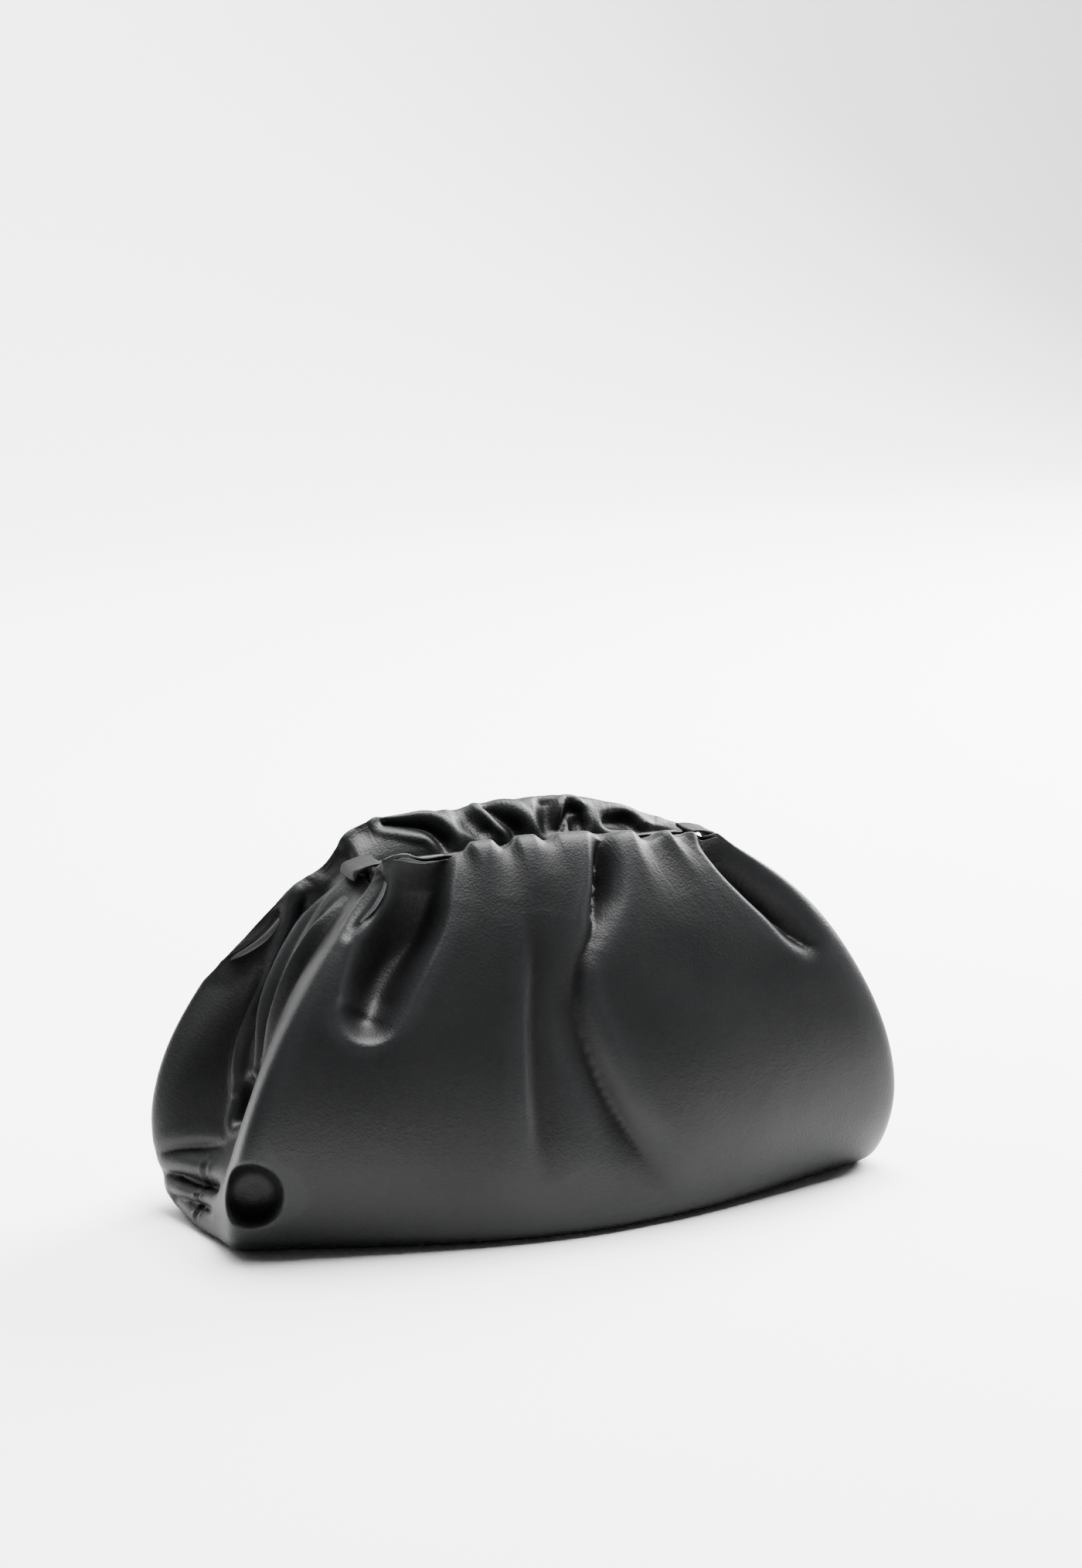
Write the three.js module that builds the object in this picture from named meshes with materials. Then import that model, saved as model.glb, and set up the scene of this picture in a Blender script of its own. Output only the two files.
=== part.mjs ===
import * as THREE from "three";

// A soft gathered leather clutch. Millimetres, Z up. It stands on z = 0 with its front towards -Y,
// and the origin is the centre of its base.

const LENGTH = 350; // end to end at the fullest height
const DEPTH = 160; // front to back at the fullest height
const HEIGHT = 187; // floor to the top of the gathers
const WALL = 2; // leather with its backing
const CLEARANCE = 0.4; // between pieces that touch

const FRAME_LENGTH = 164; // the two mouth bars, hinge end to hinge end
const FRAME_TOP = 167; // floor to the bars' top edge
const MOUTH = 10; // gap between the bars at mid length
const BAR_HEIGHT = 7;
const BAR_THICKNESS = 2.6;

const TAB_WIDTH = 17.5; // leather loops over the hinge ends, across the bag
const TAB_THICKNESS = 2;
const TAB_DROP = 8; // how far each loop hangs down outside the end
const TAB_REACH = 2.6; // how far it reaches in over the bars

const HOLLOW_RADIUS = 17; // the round hollow at the front left corner
const HOLLOW_DEPTH = 19;

const COLUMNS = 128; // facets round the bag, the same number in front and behind
const INNER_COLUMNS = COLUMNS / 2;

const HALF = LENGTH / 2;
const SIDE = DEPTH / 2;
const RIM = MOUTH / 2 + BAR_THICKNESS + CLEARANCE;
const RIM_END = FRAME_LENGTH / 2 + CLEARANCE + WALL;

// The pouch is a smooth surface drawn through a net of levels and stations. Levels run from the base
// up over the crest and down into the mouth. Stations run 0 at mid front, 7 at the corner and 11 at
// mid gusset, and the same on the back.
// z: share of HEIGHT. back, left, right: how far out the two back corners, the front left and the
// front right corner reach, share of LENGTH / 2.
// mid, backCorner, frontCorner: distance from the middle plane, share of DEPTH / 2.
// gusset: how deep the end is tucked in, share of LENGTH / 2. pleats: how far pleats fill the tuck.
// crown: how much of the crest's own rise and fall this level takes.
const level = (z, back, left, right, mid, backCorner, frontCorner, gusset, pleats, crown) => ({
  z: z * HEIGHT,
  back: back * HALF,
  left: left * HALF,
  right: right * HALF,
  mid: mid * SIDE,
  backCorner: backCorner * SIDE,
  frontCorner: frontCorner * SIDE,
  gusset: gusset * HALF,
  pleats,
  crown,
});
// The two lowest turns of the rim follow the bars.
const rimLevel = (z, crown) => ({
  z,
  back: RIM_END,
  left: RIM_END,
  right: RIM_END,
  mid: RIM,
  backCorner: RIM * 0.75,
  frontCorner: RIM * 0.75,
  gusset: 0,
  pleats: 0,
  crown,
});
const LEVELS = [
  level(0, 0.629, 0.629, 0.629, 0.438, 0.15, 0.15, -0.057, 0, 0), // base in
  level(0, 0.857, 0.857, 0.857, 0.775, 0.325, 0.325, -0.04, 0, 0), // base out
  level(0, 0.943, 0.931, 0.931, 0.95, 0.425, 0.425, -0.029, 0, 0), // base edge
  level(0.027, 0.983, 0.954, 0.954, 1.012, 0.5, 0.525, -0.011, 0, 0), // heel
  level(0.118, 1.011, 0.971, 0.971, 1.038, 0.6, 0.65, 0.023, 0, 0), // low
  level(0.241, 1.029, 0.971, 0.977, 1.038, 0.688, 0.725, 0.137, 0.1, 0), // belly
  level(0.401, 0.989, 0.914, 0.943, 0.975, 0.675, 0.713, 0.206, 0.35, 0), // waist
  level(0.561, 0.909, 0.817, 0.869, 0.85, 0.562, 0.625, 0.206, 0.8, 0), // chest
  level(0.722, 0.794, 0.686, 0.76, 0.688, 0.438, 0.512, 0.16, 1, 0), // shoulder
  level(0.845, 0.657, 0.566, 0.629, 0.537, 0.35, 0.388, 0.046, 1, 0.2), // neck
  level(0.941, 0.554, 0.509, 0.543, 0.425, 0.3, 0.312, -0.011, 0.8, 0.7), // collar
  level(1.005, 0.509, 0.491, 0.503, 0.312, 0.275, 0.275, -0.011, 0.5, 1), // crest
  level(0.968, 0.491, 0.491, 0.491, 0.163, 0.25, 0.25, -0.003, 0, 0.8), // roll
  rimLevel(FRAME_TOP + 1, 0.2),
  rimLevel(FRAME_TOP - BAR_HEIGHT, 0),
];
const TOP_LEVEL = LEVELS.length - 1;

// Rise and fall of the crest along the front and the back: [station, share of HEIGHT].
const CROWN_FRONT = [
  [-11, -0.128],
  [-10, -0.128],
  [-9, -0.139],
  [-8, -0.144],
  [-7, -0.075],
  [-5, -0.043],
  [-3, -0.037],
  [-1, -0.032],
  [1, -0.037],
  [3, -0.053],
  [5, -0.07],
  [7, -0.086],
  [8, -0.144],
  [9, -0.139],
  [10, -0.131],
  [11, -0.131],
];
const CROWN_BACK = [
  [-11, -0.128],
  [-10, -0.128],
  [-9, -0.139],
  [-8, -0.144],
  [-7, -0.048],
  [-5, -0.005],
  [-3, -0.011],
  [-1, 0],
  [1, 0.005],
  [2, 0],
  [3, -0.021],
  [4, -0.053],
  [5, -0.086],
  [7, -0.102],
  [8, -0.144],
  [9, -0.139],
  [10, -0.131],
  [11, -0.131],
];

// Where the first seven stations lie between mid face and corner, front and back.
const FACE_FRONT = [0, 0.17, 0.34, 0.51, 0.68, 0.83, 0.975];
const FACE_BACK = [0, 0.17, 0.34, 0.51, 0.68, 0.83, 0.94];
// The gusset's last four stations: distance from the middle plane as a share of the corner's, and the
// share of the tuck's depth, bare and where pleats fill it.
const GUSSET_WIDE = [0.62, 0.42, 0.22, 0];
const GUSSET_BARE = [0.15, 0.45, 0.8, 1];
const GUSSET_PLEATED_FRONT = [0.05, 0.12, 0.2, 0.32];
const GUSSET_PLEATED_BACK = [0.8, 0.95, 0.6, 0.32];
// How far the corner itself stands from the middle plane, share of the corner's distance.
const CORNER_FRONT = 0.9;
const CORNER_BACK = 0.86;
const END = 11;

// Folds are strokes along a path on the surface.
// lip: height of the raised edge as a share of the depth. edge: -1 a sharp valley, 0 rounded, towards 1
// a flat floor with steep walls.
// path rows: station, level, half width to the left and to the right, depth; the last three are
// shares of HEIGHT. A negative depth is a ridge. On an end, stations count from mid gusset, front +.
const FRONT = 0;
const BACK = 1;
const LEFT_END = 2;
const RIGHT_END = 3;
const fold = (name, face, lip, edge, path) => ({ name, face, lip, edge, path });
const FOLDS = [
  fold("left pocket", FRONT, 0, 0, [
    [-3.85, 11.23, 0.091, 0.053, 0.032],
    [-4.1, 9.66, 0.134, 0.059, 0.075],
    [-4.05, 8.75, 0.155, 0.067, 0.112],
    [-4.2, 8.12, 0.144, 0.075, 0.128],
    [-4.35, 7.65, 0.123, 0.08, 0.115],
    [-4.45, 7.25, 0.102, 0.08, 0.072],
  ]),
  fold("left pocket fold", FRONT, 0, 0, [
    [-3.9, 8.42, 0.048, 0.059, -0.003],
    [-4, 8.02, 0.053, 0.064, -0.014],
    [-4.1, 7.68, 0.053, 0.064, -0.014],
    [-4.2, 7.42, 0.053, 0.059, -0.003],
  ]),
  fold("pleat", FRONT, 0, -1, [
    [1.7, 11.23, 0.032, 0.059, 0.032],
    [1.35, 10.29, 0.032, 0.064, 0.064],
    [1.1, 9.56, 0.032, 0.07, 0.091],
    [0.85, 8.99, 0.032, 0.07, 0.086],
    [0.6, 8.62, 0.037, 0.07, 0.059],
    [0.4, 8.29, 0.043, 0.07, 0.032],
    [0.2, 7.99, 0.053, 0.07, 0.011],
  ]),
  fold("mid valley", FRONT, 0, -1, [
    [0.2, 8.05, 0.075, 0.043, 0.008],
    [-0.15, 7.58, 0.096, 0.048, 0.021],
    [-0.25, 7.08, 0.118, 0.059, 0.032],
    [-0.05, 6.28, 0.15, 0.07, 0.043],
    [0.3, 5.45, 0.182, 0.075, 0.043],
    [0.75, 4.58, 0.193, 0.096, 0.021],
    [1.1, 3.74, 0.16, 0.107, 0.005],
  ]),
  fold("mid step", FRONT, 0, 0, [
    [-0.9, 8.62, 0.064, 0.128, 0.003],
    [-1.05, 7.82, 0.037, 0.128, 0.012],
    [-1.15, 7.05, 0.032, 0.15, 0.019],
    [-1.15, 6.21, 0.032, 0.16, 0.021],
    [-1.1, 5.55, 0.037, 0.16, 0.017],
    [-0.95, 4.91, 0.059, 0.15, 0.009],
    [-0.8, 4.34, 0.086, 0.128, 0.002],
  ]),
  fold("right pocket", FRONT, 0, -1, [
    [5.2, 10.59, 0.037, 0.091, 0.027],
    [5, 9.92, 0.037, 0.112, 0.053],
    [4.8, 9.12, 0.04, 0.123, 0.075],
    [4.8, 8.55, 0.043, 0.123, 0.08],
    [4.9, 8.09, 0.045, 0.112, 0.07],
    [5, 7.72, 0.051, 0.096, 0.048],
    [5.15, 7.45, 0.053, 0.075, 0.021],
  ]),
  fold("loop face", FRONT, 0.06, 0, [
    [-6.8, 10.39, 0.032, 0.037, 0.021],
    [-6.25, 9.66, 0.037, 0.04, 0.043],
    [-6.2, 9.22, 0.037, 0.04, 0.043],
    [-6.15, 8.85, 0.037, 0.037, 0.027],
    [-6.15, 8.55, 0.032, 0.032, 0.008],
  ]),
  fold("back slit a", BACK, 0.15, -1, [
    [-4.55, 11.63, 0.027, 0.027, 0.027],
    [-3.75, 11.79, 0.032, 0.032, 0.043],
    [-3.2, 12.03, 0.032, 0.032, 0.048],
    [-2.9, 12.56, 0.027, 0.032, 0.048],
    [-2.8, 13.2, 0.027, 0.027, 0.043],
  ]),
  fold("back dent a", BACK, 0.05, 0, [
    [-1.95, 11.39, 0.032, 0.043, 0.016],
    [-1.75, 12, 0.043, 0.043, 0.021],
    [-1.5, 12.46, 0.032, 0.043, 0.016],
  ]),
  fold("back slit b", BACK, 0.15, -1, [
    [-1, 11.36, 0.021, 0.032, 0.032],
    [-0.7, 11.93, 0.027, 0.043, 0.048],
    [-0.35, 12.46, 0.027, 0.037, 0.059],
    [-0.25, 13, 0.027, 0.032, 0.053],
  ]),
  fold("back dent b", BACK, 0.05, 0, [
    [1, 11.63, 0.037, 0.037, 0.021],
    [0.95, 12.23, 0.037, 0.037, 0.032],
    [0.95, 12.73, 0.032, 0.032, 0.032],
  ]),
  fold("back slit c", BACK, 0.15, -1, [
    [1.85, 11.76, 0.021, 0.021, 0.032],
    [1.55, 12.36, 0.021, 0.021, 0.043],
    [1.35, 12.8, 0.021, 0.021, 0.043],
  ]),
  fold("back hole c", BACK, 0.1, 0.2, [
    [2, 12.13, 0.032, 0.032, 0.032],
    [2, 12.5, 0.032, 0.032, 0.053],
    [1.95, 12.76, 0.032, 0.032, 0.053],
  ]),
  fold("back hole d", BACK, 0.1, 0.1, [
    [3.2, 12.4, 0.032, 0.032, 0.032],
    [3.85, 12.26, 0.037, 0.037, 0.053],
    [4.3, 12.53, 0.032, 0.032, 0.043],
  ]),
  fold("shoulder pocket left", BACK, 0, 0, [
    [-6.6, 8.85, 0.048, 0.032, 0.005],
    [-7, 8.52, 0.064, 0.037, 0.021],
    [-7.1, 8.19, 0.075, 0.043, 0.032],
    [-7.25, 7.85, 0.075, 0.043, 0.032],
    [-7.3, 7.55, 0.064, 0.048, 0.021],
    [-7.25, 7.35, 0.053, 0.048, 0.005],
  ]),
  fold("shoulder pocket right", BACK, 0, 0, [
    [6.6, 8.85, 0.032, 0.048, 0.005],
    [7, 8.52, 0.037, 0.064, 0.021],
    [7.1, 8.19, 0.043, 0.075, 0.032],
    [7.25, 7.85, 0.043, 0.075, 0.032],
    [7.3, 7.55, 0.048, 0.064, 0.021],
    [7.25, 7.35, 0.048, 0.053, 0.005],
  ]),
  fold("notch far left", FRONT, 0, 0, [
    [-3.2, 9.9, 0.048, 0.048, 0.008],
    [-3.25, 10.6, 0.043, 0.043, 0.021],
    [-3.2, 11.3, 0.037, 0.037, 0.029],
    [-3.1, 12, 0.032, 0.032, 0.016],
  ]),
  fold("notch left", FRONT, 0, 0, [
    [-1.75, 9.8, 0.048, 0.048, 0.008],
    [-1.7, 10.5, 0.043, 0.043, 0.021],
    [-1.6, 11.2, 0.032, 0.037, 0.032],
    [-1.5, 11.9, 0.027, 0.032, 0.021],
  ]),
  fold("notch right", FRONT, 0, 0, [
    [3.1, 9.6, 0.064, 0.064, 0.005],
    [3.2, 10.4, 0.059, 0.059, 0.016],
    [3.3, 11.1, 0.048, 0.048, 0.027],
    [3.3, 11.9, 0.037, 0.037, 0.016],
  ]),
  fold("pleat a left", LEFT_END, 0, 0, [
    [-3.5, 9.1, 0.027, 0.027, -0.004],
    [-3.45, 8.7, 0.032, 0.032, -0.017],
    [-3.15, 8.1, 0.032, 0.032, -0.029],
    [-3, 7.6, 0.032, 0.032, -0.029],
    [-2.75, 7.2, 0.032, 0.032, -0.027],
    [-2.4, 6.8, 0.032, 0.032, -0.027],
    [-1.9, 6.4, 0.032, 0.032, -0.024],
    [-1.35, 6, 0.032, 0.032, -0.019],
    [-0.8, 5.6, 0.027, 0.027, -0.008],
  ]),
  fold("pleat a right", RIGHT_END, 0, 0, [
    [-3.5, 9.1, 0.027, 0.027, -0.004],
    [-3.45, 8.7, 0.032, 0.032, -0.017],
    [-3.15, 8.1, 0.032, 0.032, -0.029],
    [-3, 7.6, 0.032, 0.032, -0.029],
    [-2.75, 7.2, 0.032, 0.032, -0.027],
    [-2.4, 6.8, 0.032, 0.032, -0.027],
    [-1.9, 6.4, 0.032, 0.032, -0.024],
    [-1.35, 6, 0.032, 0.032, -0.019],
    [-0.8, 5.6, 0.027, 0.027, -0.008],
  ]),
  fold("pleat b left", LEFT_END, 0, 0, [
    [-1.4, 9.1, 0.021, 0.021, -0.004],
    [-1.3, 8.7, 0.027, 0.027, -0.016],
    [-1.2, 8.3, 0.032, 0.032, -0.029],
    [-1.1, 7.8, 0.032, 0.032, -0.035],
    [-0.95, 7.3, 0.032, 0.032, -0.032],
    [-0.7, 6.9, 0.029, 0.029, -0.027],
    [-0.4, 6.5, 0.027, 0.027, -0.019],
    [-0.1, 6, 0.027, 0.027, -0.008],
  ]),
  fold("pleat b right", RIGHT_END, 0, 0, [
    [-1.4, 9.1, 0.021, 0.021, -0.004],
    [-1.3, 8.7, 0.027, 0.027, -0.016],
    [-1.2, 8.3, 0.032, 0.032, -0.029],
    [-1.1, 7.8, 0.032, 0.032, -0.035],
    [-0.95, 7.3, 0.032, 0.032, -0.032],
    [-0.7, 6.9, 0.029, 0.029, -0.027],
    [-0.4, 6.5, 0.027, 0.027, -0.019],
    [-0.1, 6, 0.027, 0.027, -0.008],
  ]),
  fold("pleat c left", LEFT_END, 0, 0, [
    [1, 9.1, 0.021, 0.021, -0.004],
    [1, 8.7, 0.027, 0.027, -0.016],
    [1, 8.3, 0.032, 0.032, -0.029],
    [1, 7.9, 0.032, 0.032, -0.032],
    [0.9, 7.5, 0.029, 0.029, -0.029],
    [0.75, 7.1, 0.027, 0.027, -0.024],
    [0.6, 6.7, 0.027, 0.027, -0.019],
    [0.45, 6.2, 0.024, 0.024, -0.008],
  ]),
  fold("pleat c right", RIGHT_END, 0, 0, [
    [1, 9.1, 0.021, 0.021, -0.004],
    [1, 8.7, 0.027, 0.027, -0.016],
    [1, 8.3, 0.032, 0.032, -0.029],
    [1, 7.9, 0.032, 0.032, -0.032],
    [0.9, 7.5, 0.029, 0.029, -0.029],
    [0.75, 7.1, 0.027, 0.027, -0.024],
    [0.6, 6.7, 0.027, 0.027, -0.019],
    [0.45, 6.2, 0.024, 0.024, -0.008],
  ]),
  fold("pleat foot left", LEFT_END, 0.15, 0.1, [
    [-0.2, 5.75, 0.027, 0.027, 0.027],
    [-0.1, 5.5, 0.032, 0.032, 0.048],
    [0, 5.25, 0.029, 0.029, 0.032],
  ]),
  fold("pleat foot right", RIGHT_END, 0.15, 0.1, [
    [-0.2, 5.75, 0.027, 0.027, 0.027],
    [-0.1, 5.5, 0.032, 0.032, 0.048],
    [0, 5.25, 0.029, 0.029, 0.032],
  ]),
  fold("roll top left", LEFT_END, 0.05, -1, [
    [-3.6, 4.25, 0.059, 0.032, 0.008],
    [-2.3, 4.5, 0.064, 0.032, 0.019],
    [-1.2, 4.65, 0.064, 0.032, 0.021],
    [-0.3, 4.75, 0.053, 0.032, 0.011],
  ]),
  fold("roll top right", RIGHT_END, 0.05, -1, [
    [-3.6, 4.25, 0.059, 0.032, 0.008],
    [-2.3, 4.5, 0.064, 0.032, 0.019],
    [-1.2, 4.65, 0.064, 0.032, 0.021],
    [-0.3, 4.75, 0.053, 0.032, 0.011],
  ]),
  fold("crease one left", LEFT_END, 0.1, -1, [
    [-3.8, 3.75, 0.032, 0.037, 0.013],
    [-2.2, 3.88, 0.035, 0.04, 0.035],
    [-0.6, 3.95, 0.035, 0.04, 0.043],
    [0.6, 4.05, 0.032, 0.037, 0.032],
    [1.3, 4.12, 0.029, 0.035, 0.008],
  ]),
  fold("crease one right", RIGHT_END, 0.1, -1, [
    [-3.8, 3.75, 0.032, 0.037, 0.013],
    [-2.2, 3.88, 0.035, 0.04, 0.035],
    [-0.6, 3.95, 0.035, 0.04, 0.043],
    [0.6, 4.05, 0.032, 0.037, 0.032],
    [1.3, 4.12, 0.029, 0.035, 0.008],
  ]),
  fold("crease two left", LEFT_END, 0.1, -1, [
    [-2.85, 3.21, 0.027, 0.027, 0.013],
    [-0.6, 3.4, 0.027, 0.027, 0.029],
    [0.6, 3.5, 0.027, 0.027, 0.021],
    [1.3, 3.55, 0.024, 0.024, 0.005],
  ]),
  fold("crease two right", RIGHT_END, 0.1, -1, [
    [-2.85, 3.21, 0.027, 0.027, 0.013],
    [-0.6, 3.4, 0.027, 0.027, 0.029],
    [0.6, 3.5, 0.027, 0.027, 0.021],
    [1.3, 3.55, 0.024, 0.024, 0.005],
  ]),
  fold("back pleat", BACK, 0.1, -1, [
    [1.6, 10.2, 0.016, 0.048, 0.021],
    [1.8, 9.4, 0.016, 0.059, 0.048],
    [2, 8.6, 0.019, 0.064, 0.059],
    [2.2, 8, 0.021, 0.059, 0.037],
    [2.4, 7.4, 0.032, 0.059, 0.011],
  ]),
  fold("back pocket", BACK, 0.08, -1, [
    [-4.9, 10.2, 0.027, 0.064, 0.021],
    [-5, 9.4, 0.027, 0.086, 0.053],
    [-5.2, 8.6, 0.027, 0.091, 0.064],
    [-5.6, 8, 0.032, 0.08, 0.048],
    [-6.1, 7.4, 0.043, 0.059, 0.016],
  ]),
  fold("back side pocket", BACK, 0.08, -1, [
    [5.6, 10.2, 0.059, 0.021, 0.021],
    [5.5, 9.4, 0.08, 0.021, 0.048],
    [5.5, 8.6, 0.086, 0.024, 0.059],
    [5.9, 8, 0.075, 0.027, 0.043],
    [6.4, 7.5, 0.053, 0.037, 0.016],
  ]),
  fold("back valley", BACK, 0.06, -1, [
    [-1.4, 7.6, 0.075, 0.096, 0.005],
    [-1.2, 6.8, 0.048, 0.128, 0.021],
    [-0.9, 6, 0.043, 0.15, 0.027],
    [-0.5, 5.2, 0.048, 0.15, 0.021],
    [-0.2, 4.5, 0.064, 0.118, 0.005],
  ]),
];

// How far a dent can go in before the wall behind stops it: [level, share of HEIGHT].
const ROOM = [
  [0, 0.25],
  [8.2, 0.25],
  [9.5, 0.08],
  [10.5, 0.045],
  [11.5, 0.035],
  [12.5, 0.028],
  [14, 0.01],
];

const lerp = (a, b, t) => a + (b - a) * t;
const clamp = (x, low, high) => Math.min(high, Math.max(low, x));
const smooth = (a, b, x) => {
  const t = clamp((x - a) / (b - a), 0, 1);
  return t * t * (3 - 2 * t);
};
const bump = (x) => (Math.abs(x) < 1 ? Math.cos((Math.PI / 2) * x) ** 2 : 0);
const table = (rows, x) => {
  const i = clamp(rows.findIndex((row) => row[0] > x) - 1, 0, rows.length - 2);
  const last = x >= rows[rows.length - 1][0] ? rows.length - 2 : i;
  const [a, b] = [rows[last], rows[last + 1]];
  return lerp(a[1], b[1], clamp((x - a[0]) / (b[0] - a[0]), 0, 1));
};

// The net.

// Twelve points of one quarter of a level, from mid face to mid gusset, as [x, distance from plane].
function quarter(half, mid, corner, tuck, face, tucked, cornerWide) {
  const points = face.map((x) => [
    half * x,
    corner + (mid - corner) * Math.cos((Math.PI / 2) * x) ** 1.2,
  ]);
  points.push([half * 1.005, corner * cornerWide]);
  tucked.forEach((share, k) => points.push([half - share * tuck, corner * GUSSET_WIDE[k]]));
  return points;
}

function levelRing(row) {
  const { z, back, left, right, mid, backCorner, frontCorner, gusset, pleats, crown } = row;
  const mix = (plain, full) => plain.map((p, k) => lerp(p, full[k], pleats));
  const tuckedBack = mix(GUSSET_BARE, GUSSET_PLEATED_BACK);
  const tuckedFront = mix(GUSSET_BARE, GUSSET_PLEATED_FRONT);
  const ahead = (reach, tuck) =>
    quarter(reach, mid, frontCorner, tuck, FACE_FRONT, tuckedFront, CORNER_FRONT);
  const behind = quarter(
    back, mid, backCorner, gusset + 0.6 * (back - left), FACE_BACK, tuckedBack, CORNER_BACK,
  );
  const aheadLeft = ahead(left, gusset);
  const aheadRight = ahead(right, gusset + 0.5 * (right - left));
  const shared = [(behind[END][0] + aheadLeft[END][0]) / 2, 0];
  for (const points of [behind, aheadLeft, aheadRight]) points[END] = shared;
  const rise = (rows, station) => z + crown * HEIGHT * table(rows, station);
  const ring = [];
  for (let s = -END; s < END; s += 1) {
    const [x, y] = (s < 0 ? aheadLeft : aheadRight)[Math.abs(s)];
    ring.push([Math.sign(s) * x, -y, rise(CROWN_FRONT, s)]);
  }
  for (let s = END; s > -END; s -= 1) {
    const [x, y] = behind[Math.abs(s)];
    ring.push([Math.sign(s) * x, y, rise(CROWN_BACK, s)]);
  }
  return ring;
}
const NET = LEVELS.map(levelRing);
const STATIONS = NET[0].length;

// Cubic B-spline weights of the four net points round t.
function weights(t) {
  return [
    (1 - t) ** 3 / 6,
    (3 * t ** 3 - 6 * t ** 2 + 4) / 6,
    (-3 * t ** 3 + 3 * t ** 2 + 3 * t + 1) / 6,
    t ** 3 / 6,
  ];
}

// The smooth surface at station u (0 to 44, round the bag from the left end) and level v.
function bare(u, v) {
  const row = Math.min(Math.floor(v), TOP_LEVEL - 1);
  const column = Math.floor(u);
  const up = weights(v - row);
  const along = weights(u - column);
  const point = new THREE.Vector3();
  for (let j = 0; j < 4; j += 1) {
    const ring = NET[clamp(row + j - 1, 0, TOP_LEVEL)];
    for (let i = 0; i < 4; i += 1) {
      const [x, y, z] = ring[(column + i - 1 + 2 * STATIONS) % STATIONS];
      const w = up[j] * along[i];
      point.x += w * x;
      point.y += w * y;
      point.z += w * z;
    }
  }
  return point;
}

function bareNormal(u, v) {
  const step = 0.02;
  const along = bare(u + step, v).sub(bare(u - step, v));
  const up = bare(u, Math.min(v + step, TOP_LEVEL)).sub(bare(u, Math.max(v - step, 0)));
  return along.cross(up).normalize();
}

// The folds.

const PATH_STEPS = 6;

// A fold's path as closely spaced points on the surface, with widths and depth in millimetres.
function lay({ name, face, lip, edge, path }) {
  const around = (s) => [END + s, 3 * END - s, s, 2 * END - s][face];
  const rows = path.map(([s, v, left, right, depth]) => {
    const sides = face === RIGHT_END ? [right, left] : [left, right];
    return [around(s), v, sides[0] * HEIGHT, sides[1] * HEIGHT, depth * HEIGHT];
  });
  const reach = (a, b) => a.map((value, k) => 2 * value - b[k]);
  const ends = [reach(rows[0], rows[1]), ...rows, reach(rows.at(-1), rows.at(-2))];
  const points = [];
  for (let i = 1; i < rows.length; i += 1) {
    for (let n = 0; n < PATH_STEPS; n += 1) {
      const t = n / PATH_STEPS;
      const [p0, p1, p2, p3] = [ends[i - 1], ends[i], ends[i + 1], ends[i + 2]];
      points.push(
        p1.map((value, k) => {
          const pull = (p2[k] - p0[k]) * t;
          const square = (2 * p0[k] - 5 * value + 4 * p2[k] - p3[k]) * t * t;
          const cube = (3 * value - 3 * p2[k] + p3[k] - p0[k]) * t ** 3;
          return (2 * value + pull + square + cube) / 2;
        }),
      );
    }
  }
  points.push(rows.at(-1));
  const us = points.map((row) => row[0]);
  const vs = points.map((row) => row[1]);
  return {
    name,
    lip,
    edge,
    points,
    spots: points.map((row) => bare((row[0] + STATIONS) % STATIONS, row[1])),
    middle: us.reduce((sum, u) => sum + u, 0) / us.length,
    span: Math.max(8, (Math.max(...us) - Math.min(...us)) / 2 + 6),
    low: Math.min(...vs) - 3,
    high: Math.max(...vs) + 3,
  };
}
const LAID = FOLDS.map(lay);

// How far one fold moves the surface point at (u, v) along its normal. A lining is pushed by dents
// only, over a slightly wider path.
function foldDepth(laid, point, normal, u, v, wider, lining) {
  const away = ((u - laid.middle + 2.5 * STATIONS) % STATIONS) - STATIONS / 2;
  if (Math.abs(away) >= laid.span || v <= laid.low || v >= laid.high) return 0;
  let nearest = Infinity;
  let best = 0;
  let share = 0;
  for (let k = 0; k + 1 < laid.spots.length; k += 1) {
    const step = laid.spots[k + 1].clone().sub(laid.spots[k]);
    const offset = point.clone().sub(laid.spots[k]);
    const t = clamp(offset.dot(step) / (step.lengthSq() + 1e-9), 0, 1);
    const distance = offset.addScaledVector(step, -t).length();
    if (distance < nearest) [nearest, best, share] = [distance, k, t];
  }
  const row = laid.points[best].map((value, k) => lerp(value, laid.points[best + 1][k], share));
  const step = laid.spots[best + 1].clone().sub(laid.spots[best]);
  const foot = laid.spots[best].clone().addScaledVector(step, share);
  const side = normal.clone().cross(step).normalize();
  const across = point.clone().sub(foot).dot(side);
  const rightward = 0.5 + 0.5 * clamp(across / (nearest + 1e-6), -1, 1);
  const q = nearest / (lerp(row[2], row[3], rightward) + wider);
  let shape = q < 1 ? (1 - q * q) ** 2 : 0;
  if (laid.edge < 0) shape = q < 1 ? (1 - q) ** 2 : 0;
  if (laid.edge > 0) shape = 1 - smooth(laid.edge, 1, q);
  const depth = lining ? Math.max(0, row[4]) : row[4];
  const lip = lining ? 0 : laid.lip * bump((q - 1.3) / 0.7);
  const fade = smooth(1.5, 2.7, v) * (1 - smooth(TOP_LEVEL - 1.6, TOP_LEVEL - 0.5, v));
  return depth * (lip - shape) * fade;
}

function foldMove(point, normal, u, v, wider, lining) {
  const fold = (sum, laid) => sum + foldDepth(laid, point, normal, u, v, wider, lining);
  const move = LAID.reduce(fold, 0);
  const room = HEIGHT * table(ROOM, v);
  return move < 0 ? room * Math.tanh(move / room) : move;
}

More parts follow.
